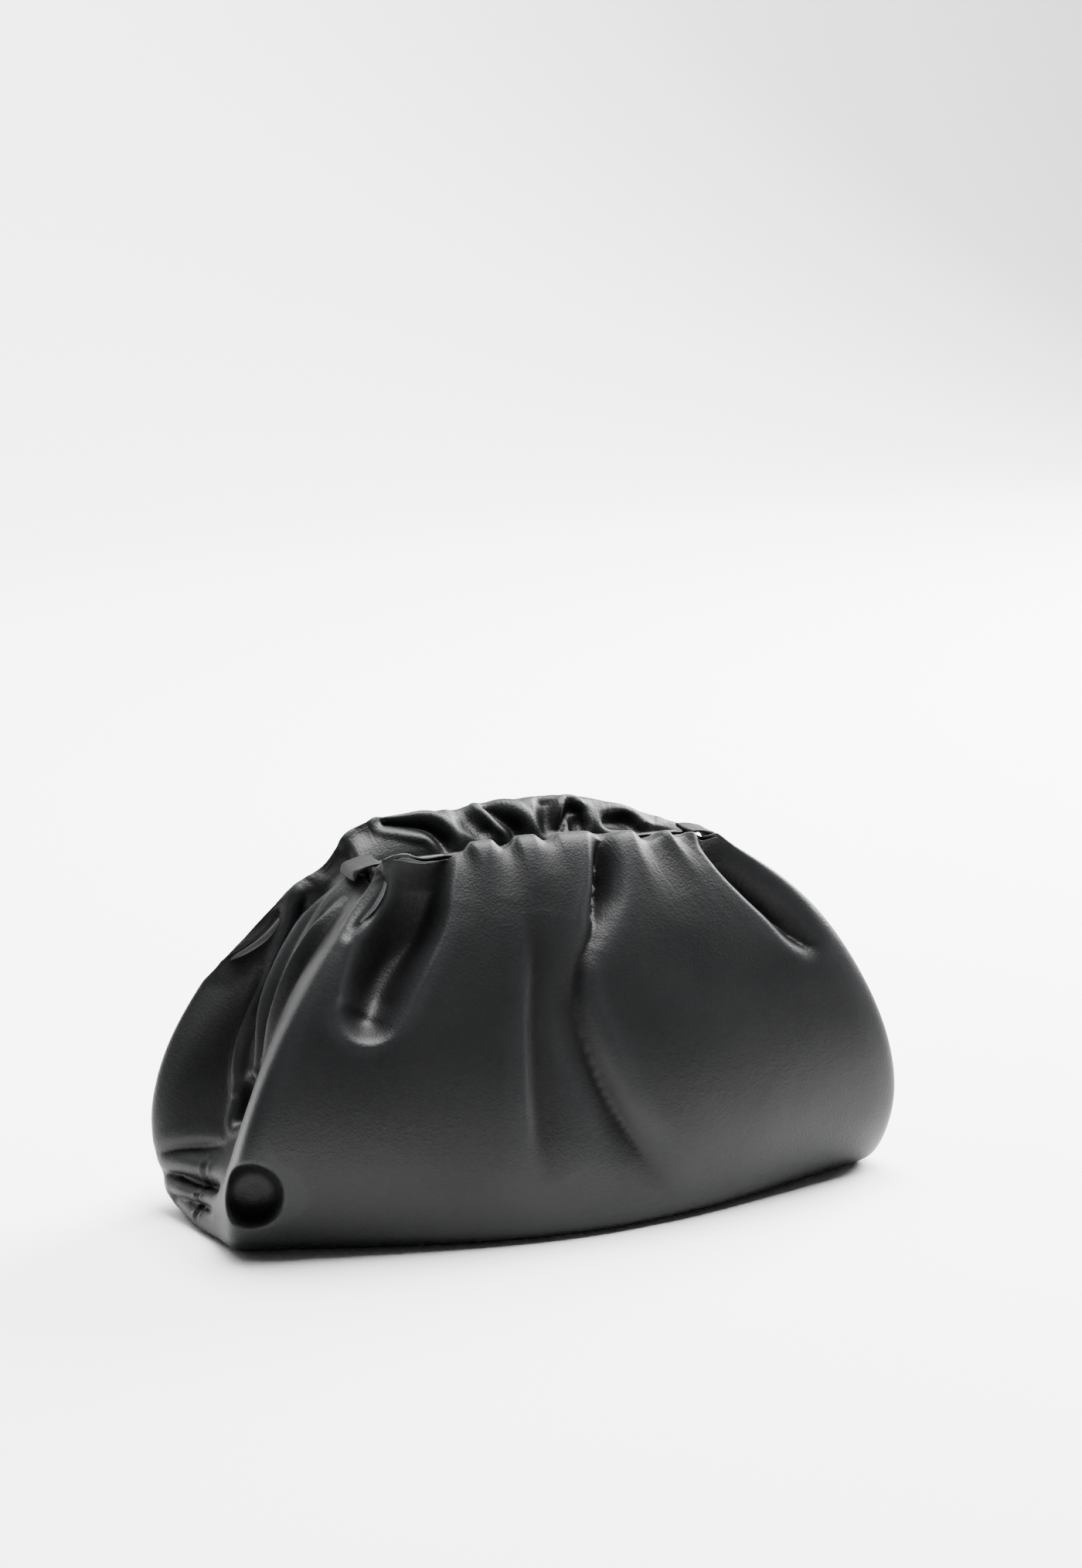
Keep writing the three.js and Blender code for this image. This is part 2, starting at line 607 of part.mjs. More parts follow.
// The hollow: a cup pushed in at the corner. Whatever stands in front of its wall is moved back to
// it, with a soft rim.
const HOLLOW_AXIS = new THREE.Vector3(0.42, 0.9, -0.1).normalize();
const HOLLOW_PLACE = bare(4.75, 4.45);
function press(point, extra) {
  const offset = point.clone().sub(HOLLOW_PLACE);
  const along = offset.dot(HOLLOW_AXIS);
  const far = Math.sqrt(Math.max(offset.lengthSq() - along * along, 0));
  const cup = (HOLLOW_DEPTH + extra) * (1 - (far / (HOLLOW_RADIUS + extra)) ** 4);
  const rim = WALL;
  const gap = Math.max(cup - along, -20 * rim) / rim;
  point.addScaledVector(HOLLOW_AXIS, rim * Math.log(1 + Math.exp(gap)));
}

function skin(u, v) {
  const point = bare(u, v);
  const normal = bareNormal(u, v);
  point.addScaledVector(normal, foldMove(point, normal, u, v, WALL, false));
  press(point, 0);
  point.z = Math.max(0, point.z);
  return point;
}

function lining(u, v) {
  const point = bare(u, v);
  const normal = bareNormal(u, v);
  point.addScaledVector(normal, foldMove(point, normal, u, v, 3 * WALL, true) - WALL);
  press(point, WALL);
  point.z = Math.max(WALL, point.z);
  return point;
}

// The pieces.

const leather = new THREE.MeshStandardMaterial({ color: 0x2b2c30, roughness: 0.5, metalness: 0 });
const steel = new THREE.MeshStandardMaterial({ color: 0x2a2a2c, roughness: 0.35, metalness: 0.8 });

function piece(name, geometry, material) {
  geometry.computeVertexNormals();
  const mesh = new THREE.Mesh(geometry, material.clone());
  mesh.name = name;
  return mesh;
}

// Levels of the facet rows, closer where the surface turns fast.
const spread = (from, to, count) =>
  Array.from({ length: count }, (_, i) => lerp(from, to, i / count));
const OUTER_ROWS = [
  ...spread(1, 3, 2),
  ...spread(3, 4.6, 6),
  ...spread(4.6, 9, 8),
  ...spread(9, 12.4, 9),
  ...spread(12.4, 14, 2),
  TOP_LEVEL,
];
const INNER_ROWS = [1, 2, 3, 4, 5, 6, 7, 8, 9, 9.8, 10.5, 11.1, 11.7, 12.4, 13.2, TOP_LEVEL];

function pouchGeometry() {
  const positions = [];
  const faces = [];
  const addRows = (rows, columns, place) => {
    const first = positions.length / 3;
    for (const v of rows) {
      for (let i = 0; i < columns; i += 1) positions.push(...place((STATIONS * i) / columns, v));
    }
    return first;
  };
  const outer = addRows(OUTER_ROWS, COLUMNS, skin);
  const inner = addRows(INNER_ROWS, INNER_COLUMNS, lining);

  // Walls, facing out of the leather.
  const wall = (first, rows, columns, inward) => {
    for (let j = 0; j + 1 < rows.length; j += 1) {
      for (let i = 0; i < columns; i += 1) {
        const next = (i + 1) % columns;
        const a = first + j * columns + i;
        const b = first + j * columns + next;
        const [c, d] = [b + columns, a + columns];
        if (inward) faces.push(a, d, c, a, c, b);
        else faces.push(a, b, c, a, c, d);
      }
    }
  };
  wall(outer, OUTER_ROWS, COLUMNS, false);
  wall(inner, INNER_ROWS, INNER_COLUMNS, true);

  // Base and inner floor: strips from front to back.
  const floor = (first, columns, up) => {
    for (let i = 0; i < columns / 2; i += 1) {
      const a = first + i;
      const b = first + ((columns - i) % columns);
      const c = first + columns - i - 1;
      const d = first + i + 1;
      const strip = [];
      if (a !== b) strip.push([a, b, c]);
      if (c !== d) strip.push([a, c, d]);
      for (const [p, q, r] of strip) faces.push(...(up ? [p, r, q] : [p, q, r]));
    }
  };
  floor(outer, COLUMNS, false);
  floor(inner, INNER_COLUMNS, true);

  // Rim: the leather's cut edge, two outer facets to one inner facet.
  const outerRim = outer + (OUTER_ROWS.length - 1) * COLUMNS;
  const innerRim = inner + (INNER_ROWS.length - 1) * INNER_COLUMNS;
  for (let i = 0; i < INNER_COLUMNS; i += 1) {
    const a = outerRim + 2 * i;
    const b = a + 1;
    const c = outerRim + ((2 * i + 2) % COLUMNS);
    const d = innerRim + i;
    const e = innerRim + ((i + 1) % INNER_COLUMNS);
    faces.push(a, b, d, b, e, d, b, c, e);
  }

  const geometry = new THREE.BufferGeometry();
  geometry.setAttribute("position", new THREE.Float32BufferAttribute(positions, 3));
  geometry.setIndex(faces);
  return geometry;
}

// A mouth bar: a bowed strip that follows the rim's inner face and closes on the hinge at both ends.
function barGeometry(front) {
  const around = (s) => (front ? END + s : 3 * END - s);
  const sign = front ? -1 : 1;
  const last = FRAME_LENGTH / 2;
  const line = [];
  for (let n = -26; n <= 26; n += 1) {
    const u = around(n / 4);
    const rim = bare(u, TOP_LEVEL - 0.4);
    const normal = bareNormal(u, TOP_LEVEL - 0.4).setZ(0).normalize();
    rim.addScaledVector(normal, CLEARANCE + BAR_THICKNESS / 2);
    if (Math.abs(rim.x) < last - 5) line.push(new THREE.Vector2(rim.x, rim.y));
  }
  line.sort((a, b) => a.x - b.x);
  const closed = (BAR_THICKNESS + CLEARANCE) / 2;
  const nearEnd = Math.abs(line[0].y);
  const hinge = (x, y) => new THREE.Vector2(x, sign * y);
  line.unshift(hinge(-last, closed), hinge(-last + 2.5, lerp(closed, nearEnd, 0.45)));
  line.push(hinge(last - 2.5, lerp(closed, nearEnd, 0.45)), hinge(last, closed));
  const curve = new THREE.SplineCurve(line);
  const points = curve.getPoints(44);
  const side = (offset) =>
    points.map((point, i) => {
      const ahead = points[Math.min(i + 1, points.length - 1)];
      const behind = points[Math.max(i - 1, 0)];
      const run = ahead.clone().sub(behind).normalize();
      const across = i === 0 || i === points.length - 1 ? new THREE.Vector2(1, 0) : run;
      return new THREE.Vector2(point.x - across.y * offset, point.y + across.x * offset);
    });
  const outline = new THREE.Shape([
    ...side(-BAR_THICKNESS / 2),
    ...side(BAR_THICKNESS / 2).reverse(),
  ]);
  const bevel = 0.4;
  const geometry = new THREE.ExtrudeGeometry(outline, {
    depth: BAR_HEIGHT - 2 * bevel,
    bevelEnabled: true,
    bevelThickness: bevel,
    bevelSize: bevel,
    bevelOffset: -bevel,
    bevelSegments: 1,
    steps: 1,
  });
  geometry.translate(0, 0, FRAME_TOP - BAR_HEIGHT + bevel);
  return geometry;
}

// A loop of leather over one hinge end: a strap whose side outline is drawn from outside the end, up
// over the hinge and in over the bars, with a rolled turn at each edge.
function tabGeometry() {
  const hinge = FRAME_LENGTH / 2;
  const seat = FRAME_TOP + CLEARANCE;
  const low = [
    [hinge + TAB_DROP * 1.35, seat - TAB_DROP * 0.75],
    [hinge + TAB_DROP * 1.08, seat - TAB_DROP * 0.4],
    [hinge + TAB_DROP * 0.66, seat - TAB_DROP * 0.1],
    [hinge + TAB_DROP * 0.2, seat],
    [hinge - TAB_REACH, seat],
  ];
  const swell = [0.75, 1.6, 0.95, 0.9, 1];
  const under = new THREE.SplineCurve(low.map(([x, z]) => new THREE.Vector2(x, z))).getPoints(14);
  const upper = under.map((point, i) => {
    const ahead = under[Math.min(i + 1, 14)];
    const behind = under[Math.max(i - 1, 0)];
    const run = ahead.clone().sub(behind).normalize();
    const k = (i / 14) * (swell.length - 1);
    const thick = TAB_THICKNESS * lerp(swell[Math.floor(k)], swell[Math.ceil(k)], k % 1);
    return new THREE.Vector2(point.x + run.y * thick, point.y - run.x * thick);
  });
  const outline = new THREE.Shape([...under, ...upper.reverse()]);
  const bevel = 0.4;
  const geometry = new THREE.ExtrudeGeometry(outline, {
    depth: TAB_WIDTH - 2 * bevel,
    bevelEnabled: true,
    bevelThickness: bevel,
    bevelSize: bevel,
    bevelOffset: -bevel,
    bevelSegments: 1,
    steps: 1,
  });
  geometry.rotateX(Math.PI / 2);
  geometry.translate(0, TAB_WIDTH / 2 - bevel, 0);
  return geometry;
}

const clutch = new THREE.Group();
clutch.add(piece("pouch_body", pouchGeometry(), leather));
clutch.add(piece("frame_bar_front", barGeometry(true), steel));
clutch.add(piece("frame_bar_back", barGeometry(false), steel));

const tabRight = piece("tab_right", tabGeometry(), leather);
const tabLeft = piece("tab_left", tabGeometry(), leather);
tabLeft.rotation.z = Math.PI;
clutch.add(tabRight, tabLeft);

export default clutch;
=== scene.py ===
# %% [markdown]
# # A cloud pouch in soft black leather
# The bag is one large piece of thin nappa gathered onto a hidden mouth frame. With nothing stiff in
# its walls, the leather folds, sags and dents by its own weight. This script loads the measured
# frame of the bag, lays a fine leather surface over it, adds the lining and the two leather loops
# at the hinge ends, and sets a plain studio round it.

# %% Load the measured frame
import bpy
import numpy as np
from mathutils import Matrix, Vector


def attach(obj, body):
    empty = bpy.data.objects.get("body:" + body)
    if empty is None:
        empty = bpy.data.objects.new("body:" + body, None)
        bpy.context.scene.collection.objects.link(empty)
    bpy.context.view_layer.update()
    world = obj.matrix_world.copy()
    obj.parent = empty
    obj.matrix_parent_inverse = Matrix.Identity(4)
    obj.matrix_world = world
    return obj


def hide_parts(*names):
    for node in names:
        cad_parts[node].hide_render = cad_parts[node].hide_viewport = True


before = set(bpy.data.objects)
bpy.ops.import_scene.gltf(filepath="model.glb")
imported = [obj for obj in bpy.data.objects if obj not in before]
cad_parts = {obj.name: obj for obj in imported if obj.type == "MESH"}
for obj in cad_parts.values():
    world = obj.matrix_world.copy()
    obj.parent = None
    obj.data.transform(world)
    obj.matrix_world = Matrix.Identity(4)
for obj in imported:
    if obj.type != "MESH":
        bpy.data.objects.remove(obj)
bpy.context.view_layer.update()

print("nodes:", sorted(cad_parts))

# %% [markdown]
# ## The camera
# A small object looks right through a long lens from some way off: here 85 mm, from 1.74 m, a little
# to the left of the front and 13 degrees above the floor. The frame is upright, so the lens is
# measured on the tall side.

# %% Place the camera
VIEW_AZIMUTH = np.radians(-24.0)
VIEW_ELEVATION = np.radians(12.7)
VIEW_DISTANCE = 1.741
VIEW_AIM = Vector((0.0045, 0.0, 0.1973))

towards_camera = Vector((
    np.sin(VIEW_AZIMUTH) * np.cos(VIEW_ELEVATION),
    -np.cos(VIEW_AZIMUTH) * np.cos(VIEW_ELEVATION),
    np.sin(VIEW_ELEVATION),
))
camera = bpy.data.objects.new("studio_camera", bpy.data.cameras.new("studio_camera"))
camera.data.lens = 85.0
camera.data.sensor_width = 36.0
camera.data.sensor_fit = "AUTO"
camera.location = VIEW_AIM + towards_camera * VIEW_DISTANCE
camera.rotation_euler = (-towards_camera).to_track_quat("-Z", "Y").to_euler()
bpy.context.scene.collection.objects.link(camera)
bpy.context.scene.camera = camera
print("camera at", [round(c, 3) for c in camera.location])

# %% [markdown]
# ## The bag as a net
# Cloth and leather have no flat faces and no circles, so a primitive is no help. A smooth surface
# drawn through a net of points is: 15 levels from the base up over the crest and down into the
# mouth, and 44 stations round the bag. Each level says how far the leather reaches out at its
# corners, how wide it stands, and how deep the two ends are tucked in.
# All lengths here are millimetres, and become metres when a mesh is made.

# %% Sizes and the table of levels
WALL = 2.0  # leather and lining together
RIM = 8.0  # from the middle plane to the leather behind a mouth bar

# name, z, reach of the back corners, front left, front right; then distance from the middle plane
# at mid face, at the back corners and at the front corners; depth of the end tuck, how far pleats
# fill the tuck, and how much of the crest's rise and fall the level takes
LEVELS = [
    ("base_in", 0, 110, 110, 110, 35, 12, 12, -10, 0, 0),
    ("base_out", 0, 150, 150, 150, 62, 26, 26, -7, 0, 0),
    ("base_edge", 0, 165, 163, 163, 76, 34, 34, -5, 0, 0),
    ("heel", 5, 172, 167, 167, 81, 40, 42, -2, 0, 0),
    ("low", 22, 177, 170, 170, 83, 48, 52, 4, 0, 0),
    ("belly", 45, 180, 170, 171, 83, 55, 58, 24, 0.1, 0),
    ("waist", 75, 173, 160, 165, 78, 54, 57, 36, 0.35, 0),
    ("chest", 105, 159, 143, 152, 68, 45, 50, 36, 0.8, 0),
    ("shoulder", 135, 139, 120, 133, 55, 35, 41, 28, 1, 0),
    ("neck", 158, 115, 99, 110, 43, 28, 31, 8, 1, 0.2),
    ("collar", 176, 97, 89, 95, 34, 24, 25, -2, 0.8, 0.7),
    ("crest", 188, 89, 86, 88, 25, 22, 22, -2, 0.5, 1),
    ("roll", 181, 86, 86, 86, 13, 20, 20, -0.5, 0, 0.8),
    ("rim", 168, 84.4, 84.4, 84.4, RIM, RIM * 0.75, RIM * 0.75, 0, 0, 0.2),
    ("bar", 160, 84.4, 84.4, 84.4, RIM, RIM * 0.75, RIM * 0.75, 0, 0, 0),
]
# rise and fall of the crest: station, millimetres
CROWN_FRONT = [
    (-11, -24), (-10, -24), (-9, -26), (-8, -27), (-7, -14), (-5, -8), (-3, -7), (-1, -6), (1, -7),
    (3, -10), (5, -13), (7, -16), (8, -27), (9, -26), (10, -24.5), (11, -24.5),
]
CROWN_BACK = [
    (-11, -24), (-10, -24), (-9, -26), (-8, -27), (-7, -9), (-5, -1), (-3, -2), (-1, 0), (1, 1),
    (2, 0), (3, -4), (4, -10), (5, -16), (7, -19), (8, -27), (9, -26), (10, -24.5), (11, -24.5),
]
# where stations 0 to 6 lie between mid face and corner
FACE_FRONT = (0, 0.17, 0.34, 0.51, 0.68, 0.83, 0.975)
FACE_BACK = (0, 0.17, 0.34, 0.51, 0.68, 0.83, 0.94)
# stations 8 to 11: distance from the middle plane, and share of the tuck, bare and pleated
TUCK_WIDE = (0.62, 0.42, 0.22, 0)
TUCK_BARE = np.array((0.15, 0.45, 0.8, 1))
TUCK_PLEATED_FRONT = np.array((0.05, 0.12, 0.2, 0.32))
TUCK_PLEATED_BACK = np.array((0.8, 0.95, 0.6, 0.32))
END = 11
STATIONS = 4 * END
TOP = len(LEVELS) - 1
print("net:", len(LEVELS), "levels by", STATIONS, "stations")


# %% Work out the net's points
def quarter(reach, mid, corner, tuck, face, shares, corner_wide):
    """Twelve points from mid face to mid end: out along the face on an arc that narrows from mid to
    corner by a cosine power, then in over the end by the tuck's shares."""
    x = np.array(face)
    along = np.stack([reach * x, corner + (mid - corner) * np.cos(np.pi / 2 * x) ** 1.2], 1)
    turn = np.array([[reach * 1.005, corner * corner_wide]])
    end = np.stack([reach - shares * tuck, corner * np.array(TUCK_WIDE)], 1)
    return np.concatenate([along, turn, end])


def level_ring(row):
    """One level's 44 points, from the left end along the front and home along the back."""
    name, z, back, left, right, mid, corner_back, corner_front, tuck, pleats, crown = row
    mix = lambda full: TUCK_BARE + (full - TUCK_BARE) * pleats
    ahead = lambda reach, deep: quarter(
        reach, mid, corner_front, deep, FACE_FRONT, mix(TUCK_PLEATED_FRONT), 0.9)
    behind = quarter(back, mid, corner_back, tuck + 0.6 * (back - left), FACE_BACK,
                     mix(TUCK_PLEATED_BACK), 0.86)
    ahead_left = ahead(left, tuck)
    ahead_right = ahead(right, tuck + 0.5 * (right - left))
    shared = np.array([(behind[END, 0] + ahead_left[END, 0]) / 2, 0])
    for points in (behind, ahead_left, ahead_right):
        points[END] = shared
    stations = np.arange(-END, END + 1)
    rise_front = z + crown * np.interp(stations, *zip(*CROWN_FRONT))
    rise_back = z + crown * np.interp(stations, *zip(*CROWN_BACK))
    flip = np.array([-1, -1])
    front_left = np.column_stack([ahead_left[:0:-1] * flip, rise_front[:END]])
    front_right = np.column_stack([ahead_right[:END] * (1, -1), rise_front[END:-1]])
    back_right = np.column_stack([behind[:0:-1], rise_back[:END:-1]])
    back_left = np.column_stack([behind[:END] * (-1, 1), rise_back[END:0:-1]])
    return np.concatenate([front_left, front_right, back_right, back_left])


NET = np.array([level_ring(row) for row in LEVELS])
print("net spans", NET.min((0, 1)).round(1), "to", NET.max((0, 1)).round(1))

# %% [markdown]
# ## From net to smooth leather
# A cubic B-spline takes each point of the surface as a weighted mean of the sixteen net points round
# it. It never makes a corner that the net doesn't have, which is how a hide behaves. Because the
# weights along the two directions are separate, a whole grid of points is two matrix products.


# %% The smooth surface
def basis(count, t, closed):
    """Rows of B-spline weights: each t mixes the four net lines round it by the four cubic
    polynomials of its fraction. A closed direction wraps, an open one stops at its last line."""
    t = np.asarray(t, float)
    cell = np.floor(t).astype(int)
    if not closed:
        cell = np.minimum(cell, count - 2)
    f = t - cell
    w = np.stack([(1 - f) ** 3, 3 * f**3 - 6 * f**2 + 4, -3 * f**3 + 3 * f**2 + 3 * f + 1, f**3])
    matrix = np.zeros((len(t), count))
    for k in range(4):
        line = cell + k - 1
        line = line % count if closed else np.clip(line, 0, count - 1)
        np.add.at(matrix, (np.arange(len(t)), line), w[k] / 6)
    return matrix


def bare_grid(u, v):
    """The surface at every level v and station u, as an array of levels by stations by 3."""
    return np.einsum("vl,lsc,us->vuc", basis(TOP + 1, v, False), NET, basis(STATIONS, u, True))


def bare_points(u, v):
    """The surface at matching lists of stations and levels."""
    return np.einsum("pl,lsc,ps->pc", basis(TOP + 1, v, False), NET, basis(STATIONS, u, True))


def grid_normals(grid):
    """The cross product of the steps along the ring and up the levels, as unit vectors."""
    along = np.roll(grid, -1, 1) - np.roll(grid, 1, 1)
    up = np.gradient(grid, axis=0)
    normal = np.cross(along, up)
    return normal / (np.linalg.norm(normal, axis=-1, keepdims=True) + 1e-9)


def smooth(low, high, x):
    """0 below low, 1 above high, and 3t^2 - 2t^3 between."""
    t = np.clip((x - low) / (high - low), 0, 1)
    return t * t * (3 - 2 * t)


def bump(x):
    """A squared cosine that is 1 at 0 and 0 beyond 1 and -1."""
    return np.where(np.abs(x) < 1, np.cos(np.pi / 2 * x) ** 2, 0)


def spaced(position, steps, rows, count, closed):
    """count places along a line, closer where the table says so. steps are the line's lengths
    between positions; each is divided by the spacing wanted there, added up, and the total cut
    into equal shares."""
    middle = (position[1:] + position[:-1]) / 2
    total = np.concatenate([[0], np.cumsum(steps / np.interp(middle, *zip(*rows)))])
    return np.interp(np.linspace(0, total[-1], count, endpoint=not closed), total, position)


def segments(points):
    """The lengths between points that follow one another."""
    return np.linalg.norm(np.diff(points, axis=0), axis=1)


COLUMNS = 450
ROWS = 214
WAIST_LEVEL = 6.0
# station or level, then the spacing wanted there in millimetres
fine_u = np.linspace(0, STATIONS, 881)
belly = bare_points(fine_u, np.full(len(fine_u), WAIST_LEVEL))
U = spaced(fine_u, segments(belly),
           [(0, 1.2), (3, 1.3), (5, 1.6), (8, 1.7), (11, 2), (13, 1.7), (15, 2), (20, 2.6), (22, 3),
            (33, 2.8), (40, 2.2), (42, 1.5), (44, 1.2)], COLUMNS, True)
fine_v = np.linspace(1, TOP, 521)
rib = bare_points(np.full(len(fine_v), float(END)), fine_v)
V = spaced(fine_v, segments(rib),
           [(1, 8), (2.5, 3), (3.5, 1.9), (8, 1.9), (10, 1.6), (12.5, 1.1), (14, 1.6)], ROWS, False)
bare = bare_grid(U, V)
bare_normal = grid_normals(bare)
print("grid", bare.shape, "closest stations", np.diff(U).min().round(3))

# %% [markdown]
# ## Folds, dents and gathers
# A fold is a stroke along a path on the leather: a section that is deepest on the path, rises to
# the bare surface at its half width, and may have a raised lip beyond. The half width may differ on
# the two sides, and a negative depth is a ridge. Strokes are easier to place than modelled
# wrinkles, because each one is a line that shows on the real bag.

# %% The table of folds
FRONT, BACK, BOTH_SHOULDERS, BOTH_ENDS = range(4)
# Where station 0 of each place lies round the bag, and which way its stations count. A second entry
# is the mirror image on the right. On a face station 0 is the middle; on an end it is the middle of
# the end, with the front plus.
PLACES = {
    FRONT: [(END, 1)],
    BACK: [(3 * END, -1)],
    BOTH_SHOULDERS: [(3 * END, -1), (3 * END, 1)],
    BOTH_ENDS: [(0, 1), (2 * END, -1)],
}
